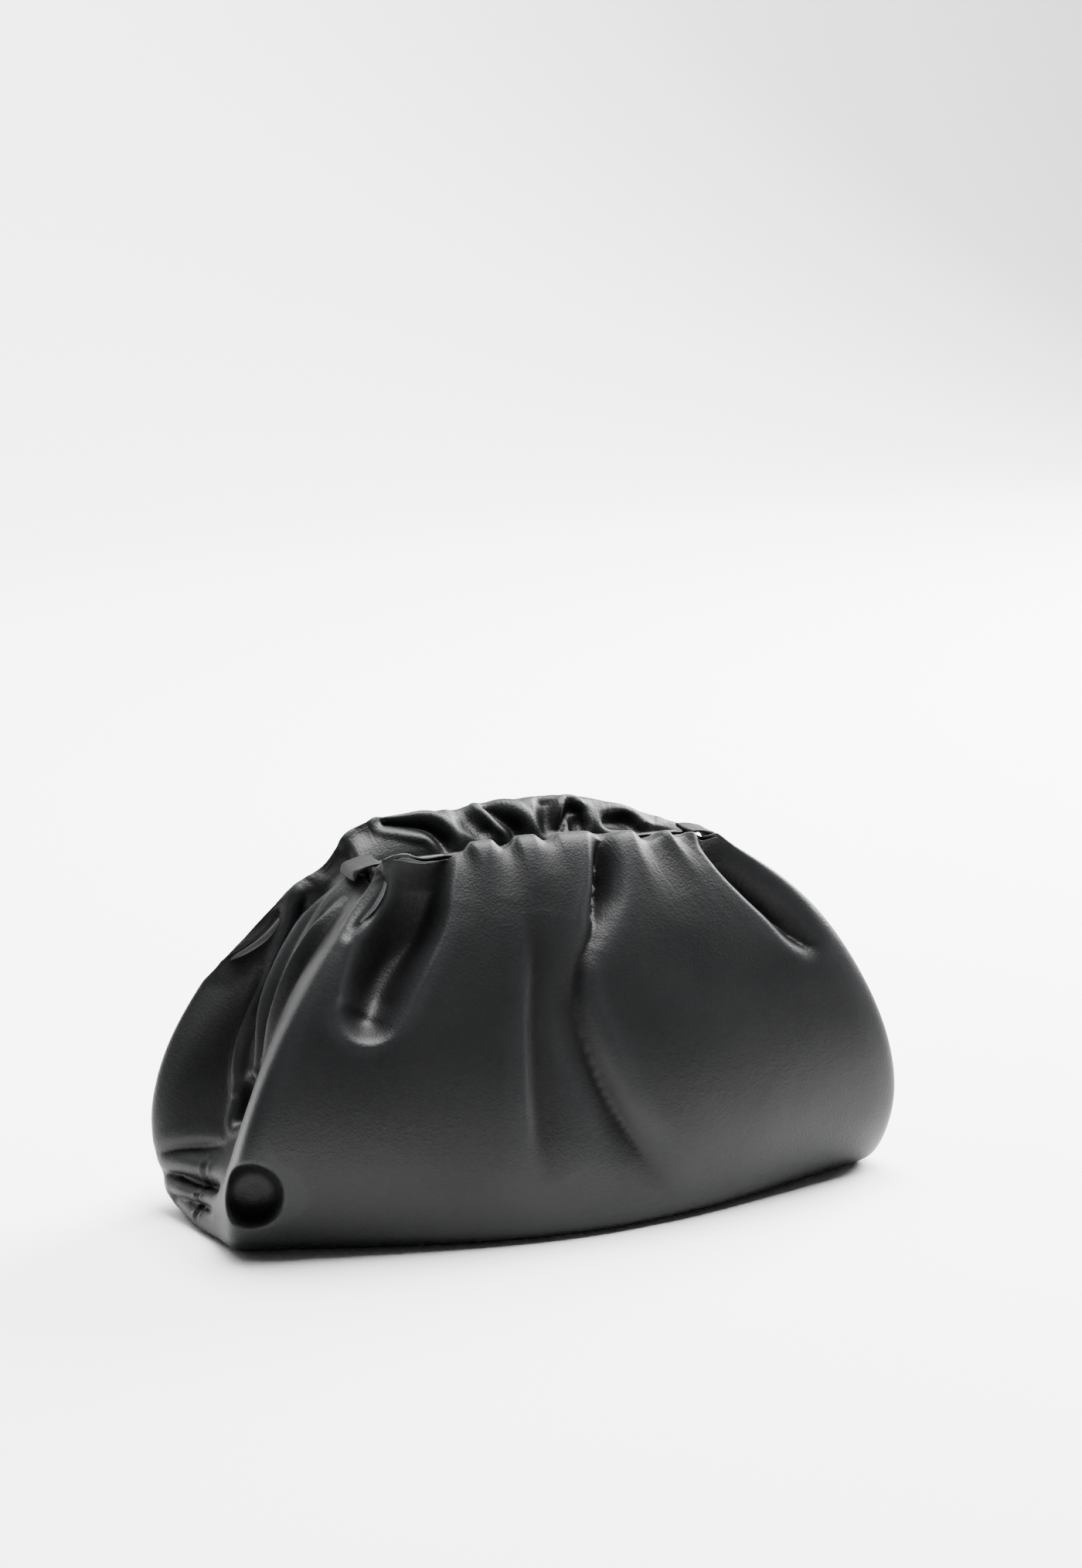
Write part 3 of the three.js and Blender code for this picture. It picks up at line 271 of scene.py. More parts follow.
# Name, place, lip, edge; then the path's rows: station, level, half width left, half width right,
# depth
FOLDS = [
    ("left pocket", FRONT, 0, 0, [
        (-3.85, 11.23, 17, 10, 6), (-4.1, 9.66, 25, 11, 14), (-4.05, 8.75, 29, 12.5, 21),
        (-4.2, 8.12, 27, 14, 24), (-4.35, 7.65, 23, 15, 21.5), (-4.45, 7.25, 19, 15, 13.5),
    ]),
    ("left pocket fold", FRONT, 0, 0, [
        (-3.9, 8.42, 9, 11, -0.5), (-4, 8.02, 10, 12, -2.6), (-4.1, 7.68, 10, 12, -2.6),
        (-4.2, 7.42, 10, 11, -0.5),
    ]),
    ("pleat", FRONT, 0, -1, [
        (1.7, 11.19, 8, 12, 6), (1.4, 10.26, 8, 13, 12), (1.15, 9.56, 8, 14, 17),
        (0.9, 8.99, 8.5, 14, 16), (0.65, 8.62, 9, 14, 11), (0.45, 8.29, 10, 14, 5.5),
        (0.2, 7.92, 11, 14, 1.5),
    ]),
    ("mid valley", FRONT, 0, -1, [
        (0.2, 8.05, 14, 8, 1.5), (-0.15, 7.58, 18, 9, 4), (-0.25, 7.08, 22, 11, 6),
        (-0.05, 6.28, 28, 13, 8), (0.3, 5.45, 34, 14, 8), (0.75, 4.58, 36, 18, 4),
        (1.1, 3.74, 30, 20, 1),
    ]),
    ("mid step", FRONT, 0, 0, [
        (-0.9, 8.62, 12, 24, 0.5), (-1.05, 7.82, 7, 24, 2.2), (-1.15, 7.05, 6, 28, 3.6),
        (-1.15, 6.21, 6, 30, 4), (-1.1, 5.55, 7, 30, 3.2), (-0.95, 4.91, 11, 28, 1.6),
        (-0.8, 4.34, 16, 24, 0.4),
    ]),
    ("right pocket", FRONT, 0, -1, [
        (5.2, 10.59, 7, 17, 5), (5, 9.92, 7, 21, 10), (4.8, 9.12, 7.5, 23, 14),
        (4.8, 8.55, 8, 23, 15), (4.9, 8.09, 8.5, 21, 13), (5, 7.72, 9.5, 18, 9),
        (5.15, 7.45, 10, 14, 4),
    ]),
    ("loop face", FRONT, 0.06, 0, [
        (-6.8, 10.39, 6, 7, 4), (-6.25, 9.66, 7, 7.5, 8), (-6.2, 9.22, 7, 7.5, 8),
        (-6.15, 8.85, 7, 7, 5), (-6.15, 8.55, 6, 6, 1.5),
    ]),
    ("back slit a", BACK, 0.15, -1, [
        (-4.55, 11.63, 5, 5, 5), (-3.75, 11.79, 6, 6, 8), (-3.2, 12.03, 6, 6, 9),
        (-2.9, 12.56, 5, 6, 9), (-2.8, 13.2, 5, 5, 8),
    ]),
    ("back dent a", BACK, 0.05, 0, [
        (-1.95, 11.39, 6, 8, 3), (-1.75, 12, 8, 8, 4), (-1.5, 12.46, 6, 8, 3),
    ]),
    ("back slit b", BACK, 0.15, -1, [
        (-1, 11.36, 4, 6, 6), (-0.7, 11.93, 5, 8, 9), (-0.35, 12.46, 5, 7, 11),
        (-0.25, 13, 5, 6, 10),
    ]),
    ("back dent b", BACK, 0.05, 0, [
        (1, 11.63, 7, 7, 4), (0.95, 12.23, 7, 7, 6), (0.95, 12.73, 6, 6, 6),
    ]),
    ("back slit c", BACK, 0.15, -1, [
        (1.85, 11.76, 4, 4, 6), (1.55, 12.36, 4, 4, 8), (1.35, 12.8, 4, 4, 8),
    ]),
    ("back hole c", BACK, 0.1, 0.2, [
        (2, 12.13, 6, 6, 6), (2, 12.5, 6, 6, 10), (1.95, 12.76, 6, 6, 10),
    ]),
    ("back hole d", BACK, 0.1, 0.1, [
        (3.2, 12.4, 6, 6, 6), (3.85, 12.26, 7, 7, 10), (4.3, 12.53, 6, 6, 8),
    ]),
    ("back hole e", BACK, 0, 0, [
        (4.5, 12.76, 6, 6, 4), (5, 12.83, 8, 8, 6), (5.75, 12.73, 6, 6, 4),
    ]),
    ("shoulder pocket", BOTH_SHOULDERS, 0, 0, [
        (-6.6, 8.85, 11, 9, 0.5), (-7, 8.52, 14, 10, 2.5), (-7.1, 8.19, 16, 11, 4),
        (-7.25, 7.85, 16, 11, 4), (-7.3, 7.55, 14, 11, 2.5), (-7.25, 7.35, 12, 11, 0.5),
    ]),
    ("shoulder dent", BOTH_SHOULDERS, 0.08, 0, [
        (-7.25, 9.39, 8, 8, 2), (-7.05, 9.79, 10, 9, 4.5), (-7.15, 10.42, 9, 8, 2.5),
    ]),
    ("notch far left", FRONT, 0, 0, [
        (-3.15, 9, 14, 14, 0.3), (-3.2, 9.9, 12, 12, 2), (-3.25, 10.7, 9, 9, 4.5),
        (-3.2, 11.4, 7, 7, 6), (-3.1, 12, 6, 6, 3),
    ]),
    ("notch left", FRONT, 0, 0, [
        (-1.8, 9, 14, 14, 0.3), (-1.75, 9.9, 11, 11, 2), (-1.7, 10.6, 8, 8, 4.5),
        (-1.6, 11.3, 6, 7, 7), (-1.5, 11.9, 5, 6, 5),
    ]),
    ("notch middle", FRONT, 0, 0, [
        (-0.35, 9.5, 12, 12, 0.2), (-0.3, 10.2, 9, 9, 1.2), (-0.25, 10.8, 7, 7, 2.8),
        (-0.2, 11.4, 6, 6, 4), (-0.1, 12, 5, 5, 2),
    ]),
    ("notch right", FRONT, 0, 0, [
        (2.9, 8.6, 16, 16, 0.3), (3.1, 9.6, 13, 13, 2), (3.2, 10.4, 11, 11, 3.5),
        (3.3, 11.1, 9, 9, 6), (3.3, 11.9, 7, 7, 4),
    ]),
    ("notch far right", FRONT, 0, 0, [
        (4.2, 9.2, 11, 11, 0.2), (4.35, 10, 9, 9, 1.4), (4.4, 10.7, 7, 7, 3),
        (4.45, 11.3, 6, 6, 4.5), (4.5, 12, 5, 5, 2),
    ]),
    ("pleat a", BOTH_ENDS, 0, 0, [
        (-3.5, 9.1, 5, 5, -0.8), (-3.45, 8.7, 6, 6, -3.2), (-3.15, 8.1, 6, 6, -5.5),
        (-3, 7.6, 6, 6, -5.5), (-2.75, 7.2, 6, 6, -5), (-2.4, 6.8, 6, 6, -5),
        (-1.9, 6.4, 6, 6, -4.5), (-1.35, 6, 6, 6, -3.5), (-0.8, 5.6, 5, 5, -1.5),
    ]),
    ("pleat b", BOTH_ENDS, 0, 0, [
        (-1.4, 9.1, 4, 4, -0.8), (-1.3, 8.7, 5, 5, -3), (-1.2, 8.3, 6, 6, -5.5),
        (-1.1, 7.8, 6, 6, -6.5), (-0.95, 7.3, 6, 6, -6), (-0.7, 6.9, 5.5, 5.5, -5),
        (-0.4, 6.5, 5, 5, -3.5), (-0.1, 6, 5, 5, -1.5),
    ]),
    ("pleat c", BOTH_ENDS, 0, 0, [
        (1, 9.1, 4, 4, -0.8), (1, 8.7, 5, 5, -3), (1, 8.3, 6, 6, -5.5), (1, 7.9, 6, 6, -6),
        (0.9, 7.5, 5.5, 5.5, -5.5), (0.75, 7.1, 5, 5, -4.5), (0.6, 6.7, 5, 5, -3.5),
        (0.45, 6.2, 4.5, 4.5, -1.5),
    ]),
    ("pleat foot", BOTH_ENDS, 0.15, 0.1, [
        (-0.2, 5.75, 5, 5, 5), (-0.1, 5.5, 6, 6, 9), (0, 5.25, 5.5, 5.5, 6),
    ]),
    ("roll top", BOTH_ENDS, 0.05, -1, [
        (-3.6, 4.25, 11, 6, 1.5), (-2.3, 4.5, 12, 6, 3.5), (-1.2, 4.65, 12, 6, 4),
        (-0.3, 4.75, 10, 6, 2),
    ]),
    ("crease one", BOTH_ENDS, 0.1, -1, [
        (-3.8, 3.75, 6, 7, 2.5), (-2.2, 3.88, 6.5, 7.5, 6.5), (-0.6, 3.95, 6.5, 7.5, 8),
        (0.6, 4.05, 6, 7, 6), (1.3, 4.12, 5.5, 6.5, 1.5),
    ]),
    ("crease two", BOTH_ENDS, 0.1, -1, [
        (-2.85, 3.21, 5, 5, 2.5), (-0.6, 3.4, 5, 5, 5.5), (0.6, 3.5, 5, 5, 4),
        (1.3, 3.55, 4.5, 4.5, 1),
    ]),
    ("end seam", BOTH_ENDS, 0.35, 0, [
        (-0.6, 4.55, 2.4, 2.4, 0.3), (-0.45, 4.2, 2.4, 2.4, 1), (-0.3, 3.7, 2.4, 2.4, 1),
        (-0.2, 3.2, 2.4, 2.4, 1), (-0.1, 2.8, 2.4, 2.4, 0.3),
    ]),
    ("back pleat", BACK, 0, 0, [
        (1.6, 10.2, 9, 12, 3), (1.8, 9.4, 9, 14, 8), (2, 8.6, 10, 14, 10), (2.2, 8, 11, 14, 6),
        (2.4, 7.4, 12, 14, 1.5),
    ]),
    ("back pocket", BACK, 0, 0, [
        (-4.9, 10.2, 11, 15, 3), (-5, 9.4, 12, 18, 9), (-5.2, 8.6, 13, 19, 12),
        (-5.6, 8, 13, 17, 8), (-6.1, 7.4, 13, 14, 2),
    ]),
    ("back side pocket", BACK, 0, 0, [
        (5.6, 10.2, 13, 10, 3), (5.5, 9.4, 16, 10, 8), (5.5, 8.6, 17, 11, 10), (5.9, 8, 15, 11, 7),
        (6.4, 7.5, 12, 11, 2),
    ]),
    ("back valley", BACK, 0, 0, [
        (-1.4, 7.6, 16, 20, 1), (-1.2, 6.8, 14, 26, 4), (-0.9, 6, 14, 30, 5),
        (-0.5, 5.2, 15, 30, 4), (-0.2, 4.5, 16, 24, 1),
    ]),
]
# how far a dent can go in before the wall behind stops it
ROOM = [(0, 47), (8.2, 47), (9.5, 15), (10.5, 8.4), (11.5, 6.5), (12.5, 5.2), (14, 1.9)]
# how many stations and levels beyond its path a fold can reach
STATIONS_ROUND = 6
LEVELS_ROUND = 3
print(len(FOLDS), "folds, of which in pairs:", sum(len(PLACES[fold[1]]) == 2 for fold in FOLDS))


# %% Lay each fold along its path
def smooth_path(rows, steps=6):
    """A Catmull-Rom curve through the rows: it passes each one, with the slope of its neighbours."""
    p = np.array(rows, float)
    p = np.vstack([2 * p[0] - p[1], p, 2 * p[-1] - p[-2]])
    t = (np.arange(steps) / steps)[None, :, None]
    a, b, c, d = p[:-3, None], p[1:-2, None], p[2:-1, None], p[3:, None]
    curve = (2 * b + (c - a) * t + (2 * a - 5 * b + 4 * c - d) * t**2
             + (3 * b - 3 * c + d - a) * t**3) / 2
    return np.vstack([curve.reshape(-1, p.shape[1]), p[-2]])


def fold_paths(where, rows):
    """The fold's path as a smooth curve, with its stations counted round the whole bag, and then its
    mirror image if the place has one. In the mirror image the two half widths change places."""
    paths = []
    for mirrored, (start, way) in enumerate(PLACES[where]):
        station, level, left, right, depth = np.array(rows, float).T
        if mirrored:
            left, right = right, left
        paths.append(smooth_path(np.stack([start + way * station, level, left, right, depth], 1)))
    return paths


def fold_move(grid, normal, u, v, path, lip, edge):
    """How far one fold moves every point of the grid: the distance q from the path, as a share of
    the half width, gives the section: a sharp valley (1 - q)^2 where edge is below 0, a round one
    (1 - q^2)^2 where it is 0, else a floor that is flat up to q = edge. A lip stands round q = 1.3.
    Only the part of the grid a few stations and levels round the path is worked on."""
    line = bare_points(path[:, 0] % STATIONS, path[:, 1])
    centre = path[:, 0].mean()
    away = (u - centre + 2.5 * STATIONS) % STATIONS - STATIONS / 2
    reach = max(8, np.ptp(path[:, 0]) / 2 + STATIONS_ROUND)
    near_rows = (v > path[:, 1].min() - LEVELS_ROUND) & (v < path[:, 1].max() + LEVELS_ROUND)
    patch = np.ix_(near_rows, np.abs(away) < reach)
    p, n = grid[patch], normal[patch]
    nearest = np.full(p.shape[:2], np.inf)
    row = np.zeros(p.shape[:2] + (5,))
    side = np.zeros(p.shape)
    foot = np.zeros(p.shape)
    for k in range(len(line) - 1):
        step = line[k + 1] - line[k]
        share = np.clip((p - line[k]) @ step / (step @ step + 1e-9), 0, 1)[..., None]
        at = line[k] + share * step
        far = np.linalg.norm(p - at, axis=-1)
        closer = far < nearest
        nearest = np.where(closer, far, nearest)
        closer = closer[..., None]
        row = np.where(closer, path[k] + share * (path[k + 1] - path[k]), row)
        foot = np.where(closer, at, foot)
        side = np.where(closer, np.cross(n, step / (np.linalg.norm(step) + 1e-9)), side)
    side /= np.linalg.norm(side, axis=-1, keepdims=True) + 1e-9
    across = np.einsum("vuc,vuc->vu", p - foot, side)
    rightward = 0.5 + 0.5 * np.clip(across / (nearest + 1e-6), -1, 1)
    q = nearest / (row[..., 2] * (1 - rightward) + row[..., 3] * rightward)
    if edge > 0:
        section = 1 - smooth(edge, 1, q)
    else:
        section = np.where(q < 1, (1 - q) ** 2 if edge < 0 else (1 - q**2) ** 2, 0)
    fade = ((1 - smooth(TOP - 1.6, TOP - 0.5, v)) * smooth(1.5, 2.7, v))[near_rows, None]
    size = row[..., 4] * (lip * bump((q - 1.3) / 0.7) - section) * fade
    whole = np.zeros(grid.shape)
    whole[patch] = n * size[..., None]
    return whole


def folded(grid, normal, u, v):
    """All folds added up. A tanh of the dent over the room keeps it clear of the wall behind."""
    move = np.zeros(grid.shape)
    for _, where, lip, edge, rows in FOLDS:
        for path in fold_paths(where, rows):
            move += fold_move(grid, normal, u, v, path, lip, edge)
    size = np.einsum("vuc,vuc->vu", move, normal)
    room = np.interp(v, *zip(*ROOM))[:, None]
    less = np.where(size < 0, room * np.tanh(size / room) - size, 0)
    return grid + move + normal * less[..., None]


# the round hollow at the front left corner: station, level, axis into the bag, radius, depth
HOLLOW_AT = (4.95, 4.45)
HOLLOW_AXIS = np.array((0.42, 0.9, -0.1))
HOLLOW_RADIUS = 16.0
HOLLOW_DEPTH = 18.0
HOLLOW_RIM = 2.0


def pressed(grid, extra=0.0):
    """A cup pushed into the leather: along the axis its wall is at depth * (1 - (r / radius)^4), and
    whatever stands in front of that wall is moved back to it, with a soft rim from
    rim * ln(1 + exp(gap / rim))."""
    axis = HOLLOW_AXIS / np.linalg.norm(HOLLOW_AXIS)
    offset = grid - bare_points(*[np.array([c]) for c in HOLLOW_AT])[0]
    along = offset @ axis
    far = np.sqrt(np.maximum((offset**2).sum(-1) - along**2, 0))
    cup = (HOLLOW_DEPTH + extra) * (1 - (far / (HOLLOW_RADIUS + extra)) ** 4)
    return grid + (HOLLOW_RIM * np.logaddexp(0, (cup - along) / HOLLOW_RIM))[..., None] * axis


skin = pressed(folded(bare, bare_normal, U, V))
skin[..., 2] = np.maximum(skin[..., 2], 0)
print("skin spans", skin.min((0, 1)).round(1), "to", skin.max((0, 1)).round(1))

# %% [markdown]
# ## Numbers for the finish
# Leather wears lighter on its ridges, and its folds are given a darker tone that is painted shade.
# Both can be told from the surface itself: a point that lies outside the mean of its neighbours is
# on a ridge. That number goes to the material as an attribute, and so do a second set of lengths
# along the hide for patterns that follow it.


# %% Ridge and fold as an attribute
def relief(grid, normal, reach):
    """Along the normal, how far a point stands out from the mean of four points, reach steps away."""
    pad = np.pad(grid, ((reach, reach), (0, 0), (0, 0)), mode="edge")
    up_and_down = pad[2 * reach:] + pad[:-2 * reach]
    mean = (up_and_down + np.roll(grid, reach, 1) + np.roll(grid, -reach, 1)) / 4
    return np.einsum("vuc,vuc->vu", grid - mean, normal)


skin_normal = grid_normals(skin)
ridge = relief(skin, skin_normal, 3) + 0.5 * relief(skin, skin_normal, 7)
print("relief from", ridge.min().round(2), "to", ridge.max().round(2), "mm")

# %% [markdown]
# ## Making a mesh from a grid
# A grid becomes a mesh in one go: its points are the vertices and each cell is a quad. The ring
# closes on itself. The base is closed by drawing the lowest ring in to the middle line.


# %% From grid to mesh
def closed_base(grid):
    """The grid with two more rings below it: half way to the middle line y = 0, and on it."""
    low = grid[0]
    half = low * (1, 0.5, 1)
    line = low * (1, 0, 1)
    return np.concatenate([line[None], half[None], grid])


def ring_mesh(name, grid, inward=False):
    """A closed ring of quads from a levels by stations grid in millimetres, as an object in metres."""
    rows, columns, _ = grid.shape
    at = np.arange(rows * columns).reshape(rows, columns)
    right = np.roll(at, -1, 1)
    quads = np.stack([at[:-1], right[:-1], right[1:], at[1:]], -1).reshape(-1, 4)
    if inward:
        quads = quads[:, ::-1]
    mesh = bpy.data.meshes.new(name)
    mesh.vertices.add(rows * columns)
    mesh.vertices.foreach_set("co", (grid / 1000).astype(np.float32).ravel())
    mesh.loops.add(quads.size)
    mesh.loops.foreach_set("vertex_index", quads.astype(np.int32).ravel())
    mesh.polygons.add(len(quads))
    mesh.polygons.foreach_set("loop_start", np.arange(0, quads.size, 4, dtype=np.int32))
    mesh.polygons.foreach_set("use_smooth", np.ones(len(quads), bool))
    mesh.update(calc_edges=True)
    mesh.validate()
    piece = bpy.data.objects.new(name, mesh)
    bpy.context.scene.collection.objects.link(piece)
    return piece


def point_attribute(piece, name, values):
    """One number for each vertex, which a material reads by name."""
    layer = piece.data.attributes.new(name, "FLOAT", "POINT")
    layer.data.foreach_set("value", np.asarray(values, np.float32).ravel())


def hide_map(piece, along, up):
    """A UV map in metres of hide: along the ring and up the wall, for each corner of each quad."""
    corners = np.empty(len(piece.data.loops), np.int32)
    piece.data.loops.foreach_get("vertex_index", corners)
    pairs = np.stack([along.ravel()[corners], up.ravel()[corners]], 1).astype(np.float32)
    piece.data.uv_layers.new(name="hide").data.foreach_set("uv", pairs.ravel())


body = ring_mesh("pouch_leather", closed_base(skin))
lowest = np.zeros((2, COLUMNS))
point_attribute(body, "ridge", np.concatenate([lowest, ridge]))
level = np.concatenate([np.full((2, 1), V[0]), V[:, None]]) * np.ones((1, COLUMNS))
point_attribute(body, "level", level)
# lengths of hide from the base's edge up the front, with the two base rings before it, and round
base_run = [-60, -30]
run_up = np.cumsum([0, *segments(bare_points(np.full(ROWS, float(END)), V))])
run_up = np.concatenate([base_run, run_up])[:, None] * np.ones((1, COLUMNS)) / 1000
run_round = np.interp(U, fine_u, np.cumsum([0, *segments(belly)]))
hide_map(body, np.ones((ROWS + 2, 1)) * run_round[None] / 1000, run_up)
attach(body, "root")
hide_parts("pouch_body")
print(body.name, len(body.data.polygons), "quads")

# %% [markdown]
# ## The lining
# Inside, the bag is faced with a thin dark suede. It follows the dents of the leather a wall's
# thickness in, but not its raised folds, and meets the leather at the bottom of the mouth.

# %% Lay the lining
LINING_COLUMNS = 200
u_lining = np.arange(LINING_COLUMNS) * STATIONS / LINING_COLUMNS
v_lining = np.concatenate([np.linspace(1, 9, 40, endpoint=False), np.linspace(9, TOP, 34)])
within = bare_grid(u_lining, v_lining)
normal_within = grid_normals(within)
sunk = folded(within, normal_within, u_lining, v_lining)
depth = np.minimum(np.einsum("vuc,vuc->vu", sunk - within, normal_within), 0)
lining_grid = within + normal_within * (depth - WALL)[..., None]
lining_grid = pressed(lining_grid, WALL)
lining_grid[..., 2] = np.maximum(lining_grid[..., 2], WALL)
lining_grid[-1] = bare_grid(u_lining, v_lining[-1:])[0]
lining = ring_mesh("pouch_lining", closed_base(lining_grid), inward=True)
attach(lining, "root")
print(lining.name, len(lining.data.polygons), "quads")

# %% [markdown]
# ## The loops over the hinge ends
# Each end of the mouth frame is covered by a short strap of the same leather. It lies over the
# hinge and drops outside it, with a thick turn where it bends down. A strap is a section carried
# along a straight line: the section is its side outline, and the line runs across the bag.

# %% Carry the strap's section across
FRAME_END = 82.0
STRAP_WIDTH = 17.5
STRAP_SEAT = 167.4
STRAP_THICKNESS = 2.0
STRAP_LIFT = 0.5
STRAP_RINGS = 40
# out from the frame's end, up from the seat, and share of the thickness
STRAP_BENDS = [(-2.6, 0, 1), (1.6, 0, 0.9), (5.3, -0.8, 0.95), (8.6, -3.2, 1.6), (10.8, -6, 0.75)]


def strap_grid(side):
    """Rings of the strap: its side outline, a curve through the bends given a thickness that swells
    at the turn, repeated at places across the width. At the two edges the outline shrinks on a high
    power curve, which rounds them, and lifts a little with the square of the place."""
    line = smooth_path([(FRAME_END + out, STRAP_SEAT + up, share) for out, up, share in STRAP_BENDS], 8)
    run = np.gradient(line[:, :2], axis=0)
    run /= np.linalg.norm(run, axis=1, keepdims=True)
    out = np.stack([-run[:, 1], run[:, 0]], 1)
    thick = STRAP_THICKNESS * line[:, 2:]
    under, over = line[:, :2], line[:, :2] + out * thick
    outline = np.concatenate([under, over[::-1]])
    middle = np.concatenate([(under + over) / 2, ((under + over) / 2)[::-1]])
    across = np.sin(np.linspace(-np.pi / 2, np.pi / 2, STRAP_RINGS))
    swell = np.sqrt(np.clip(1 - np.abs(across) ** 14, 0, 1))[:, None, None]
    ring = middle + (outline - middle) * swell
    lift = STRAP_LIFT * across[:, None] ** 2
    x = side * ring[..., 0]
    y = across[:, None] * STRAP_WIDTH / 2 * np.ones(x.shape)
    z = ring[..., 1] + lift
    return np.stack([x, y, z], -1)


def strap(name, side, node):
    """The strap's rings as a closed mesh that replaces the plain solid."""
    grid = strap_grid(side)
    piece = ring_mesh(name, grid, inward=side > 0)
    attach(piece, "root")
    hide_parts(node)
    print(name, len(piece.data.polygons), "quads")
    return piece


straps = [strap("strap_loop_left", -1, "tab_left"), strap("strap_loop_right", 1, "tab_right")]

# %% [markdown]
# ## Finishes
# Nappa is a full-grain lamb or calf hide, dyed through and finished with a thin film. It is nearly
# smooth: very fine pebbles under a millimetre across, a soft low sheen that is a little stronger in
# some patches than in others, and a slightly lighter tone where it is stretched over a ridge. Its
# folds are painted a darker tone, as shade.


# %% Colours and nodes
def linear(code):
    """An sRGB hex code as linear red, green, blue and alpha."""
    c = np.array([int(code[i:i + 2], 16) for i in (1, 3, 5)]) / 255
    c = np.where(c <= 0.04045, c / 12.92, ((c + 0.055) / 1.055) ** 2.4)
    return (*c.tolist(), 1.0)


def add(tree, kind, links=(), **values):
    """Adds a node. A value whose name is a socket is set there, any other on the node itself;
    links are (socket of this node, node, output)."""
    node = tree.nodes.new(kind)
    for name, value in values.items():
        if hasattr(node, name) and name.islower():
            setattr(node, name, value)
    for name, value in values.items():
        if not (hasattr(node, name) and name.islower()):
            node.inputs[name.replace("_", " ")].default_value = value
    for socket, other, output in links:
        tree.links.new(other.outputs[output], node.inputs[socket])
    return node


def new_material(name):
    """An empty node material with its output, and the shader that feeds it."""
    material = bpy.data.materials.new(name)
    material.use_nodes = True
    tree = material.node_tree
    tree.nodes.clear()
    shader = add(tree, "ShaderNodeBsdfPrincipled")
    add(tree, "ShaderNodeOutputMaterial", [("Surface", shader, "BSDF")])
    return material, tree, shader


print("nappa black:", [round(c, 4) for c in linear("#0a0b0c")])

# %% [markdown]
# The grain is a Voronoi pattern of cells 1.1 mm across, drawn a little coarser than the real 0.7 mm
# so that it shows. Over it lie soft ripples a centimetre or two long, and faint creases that run up
# the hide and grow stronger towards the gathers.

# %% Black nappa
GRAIN = 0.0011
SOFT_RIPPLE = 0.016
nappa, tree, shader = new_material("black_nappa")
place = add(tree, "ShaderNodeTexCoord")
grain = add(tree, "ShaderNodeTexVoronoi", [("Vector", place, "Object")],
            feature="SMOOTH_F1", Scale=1 / GRAIN, Smoothness=0.6)
ripple = add(tree, "ShaderNodeTexNoise", [("Vector", place, "Object")],
             Scale=1 / SOFT_RIPPLE, Detail=3.0, Roughness=0.5)
patches = add(tree, "ShaderNodeTexNoise", [("Vector", place, "Object")], Scale=22.0, Detail=4.0)
hide = add(tree, "ShaderNodeUVMap", uv_map="hide")
stretch = add(tree, "ShaderNodeMapping", [("Vector", hide, "UV")])
stretch.inputs["Scale"].default_value = (260.0, 26.0, 1.0)
creases = add(tree, "ShaderNodeTexNoise", [("Vector", stretch, "Vector")],
              Scale=1.0, Detail=3.0, Roughness=0.6)
height = add(tree, "ShaderNodeAttribute", attribute_name="level")
near_top = add(tree, "ShaderNodeMapRange", [("Value", height, "Fac")],
               From_Min=7.5, From_Max=11.5, To_Min=0.05, To_Max=1.0)
crease_height = add(tree, "ShaderNodeMath", [(0, creases, "Fac"), (1, near_top, "Result")],
                    operation="MULTIPLY")
bump_ripple = add(tree, "ShaderNodeBump", [("Height", ripple, "Fac")], Strength=0.35, Distance=0.0006)
bump_crease = add(tree, "ShaderNodeBump",
                  [("Height", crease_height, "Value"), ("Normal", bump_ripple, "Normal")],
                  Strength=0.5, Distance=0.0006)
bump_grain = add(tree, "ShaderNodeBump",
                 [("Height", grain, "Distance"), ("Normal", bump_crease, "Normal")],
                 Strength=0.35, Distance=0.0003)
# The tone follows the relief: lighter on ridges where the hide wears, and darker in folds as painted
# shade.
ridges = add(tree, "ShaderNodeAttribute", attribute_name="ridge")
ridge_wear_and_fold_shade = add(tree, "ShaderNodeMapRange", [("Value", ridges, "Fac")], From_Min=-0.8, From_Max=0.9)
tone = add(tree, "ShaderNodeValToRGB", [("Fac", ridge_wear_and_fold_shade, "Result")])
tone.color_ramp.elements[0].color = linear("#050506")
tone.color_ramp.elements[1].color = linear("#121314")
middle = tone.color_ramp.elements.new(0.5)
middle.color = linear("#0a0b0c")
cloudy = add(tree, "ShaderNodeMapRange", [("Value", patches, "Fac")],
             From_Min=0.3, From_Max=0.7, To_Min=0.42, To_Max=0.52)
shader.inputs["IOR"].default_value = 1.45
shader.inputs["Specular IOR Level"].default_value = 0.22
tree.links.new(tone.outputs["Color"], shader.inputs["Base Color"])
tree.links.new(cloudy.outputs["Result"], shader.inputs["Roughness"])
tree.links.new(bump_grain.outputs["Normal"], shader.inputs["Normal"])
body.data.materials.append(nappa)
print(nappa.name, len(tree.nodes), "nodes")

# %% [markdown]
# The straps are cut from the same hide, but have no map of it, so their finish is the plain grain.

# %% Strap leather
strap_leather, tree, shader = new_material("strap_nappa")
place = add(tree, "ShaderNodeTexCoord")
grain = add(tree, "ShaderNodeTexVoronoi", [("Vector", place, "Object")],
            feature="SMOOTH_F1", Scale=1 / GRAIN, Smoothness=0.6)
folds_noise = add(tree, "ShaderNodeTexNoise", [("Vector", place, "Object")], Scale=320.0, Detail=3.0)
bump_soft = add(tree, "ShaderNodeBump", [("Height", folds_noise, "Fac")],
                Strength=0.3, Distance=0.0003)
bump_grain = add(tree, "ShaderNodeBump",
                 [("Height", grain, "Distance"), ("Normal", bump_soft, "Normal")],
                 Strength=0.35, Distance=0.0003)
tone = add(tree, "ShaderNodeValToRGB", [("Fac", folds_noise, "Fac")])
tone.color_ramp.elements[0].color = linear("#070708")
tone.color_ramp.elements[1].color = linear("#121314")
shader.inputs["Roughness"].default_value = 0.6
shader.inputs["IOR"].default_value = 1.45
shader.inputs["Specular IOR Level"].default_value = 0.25
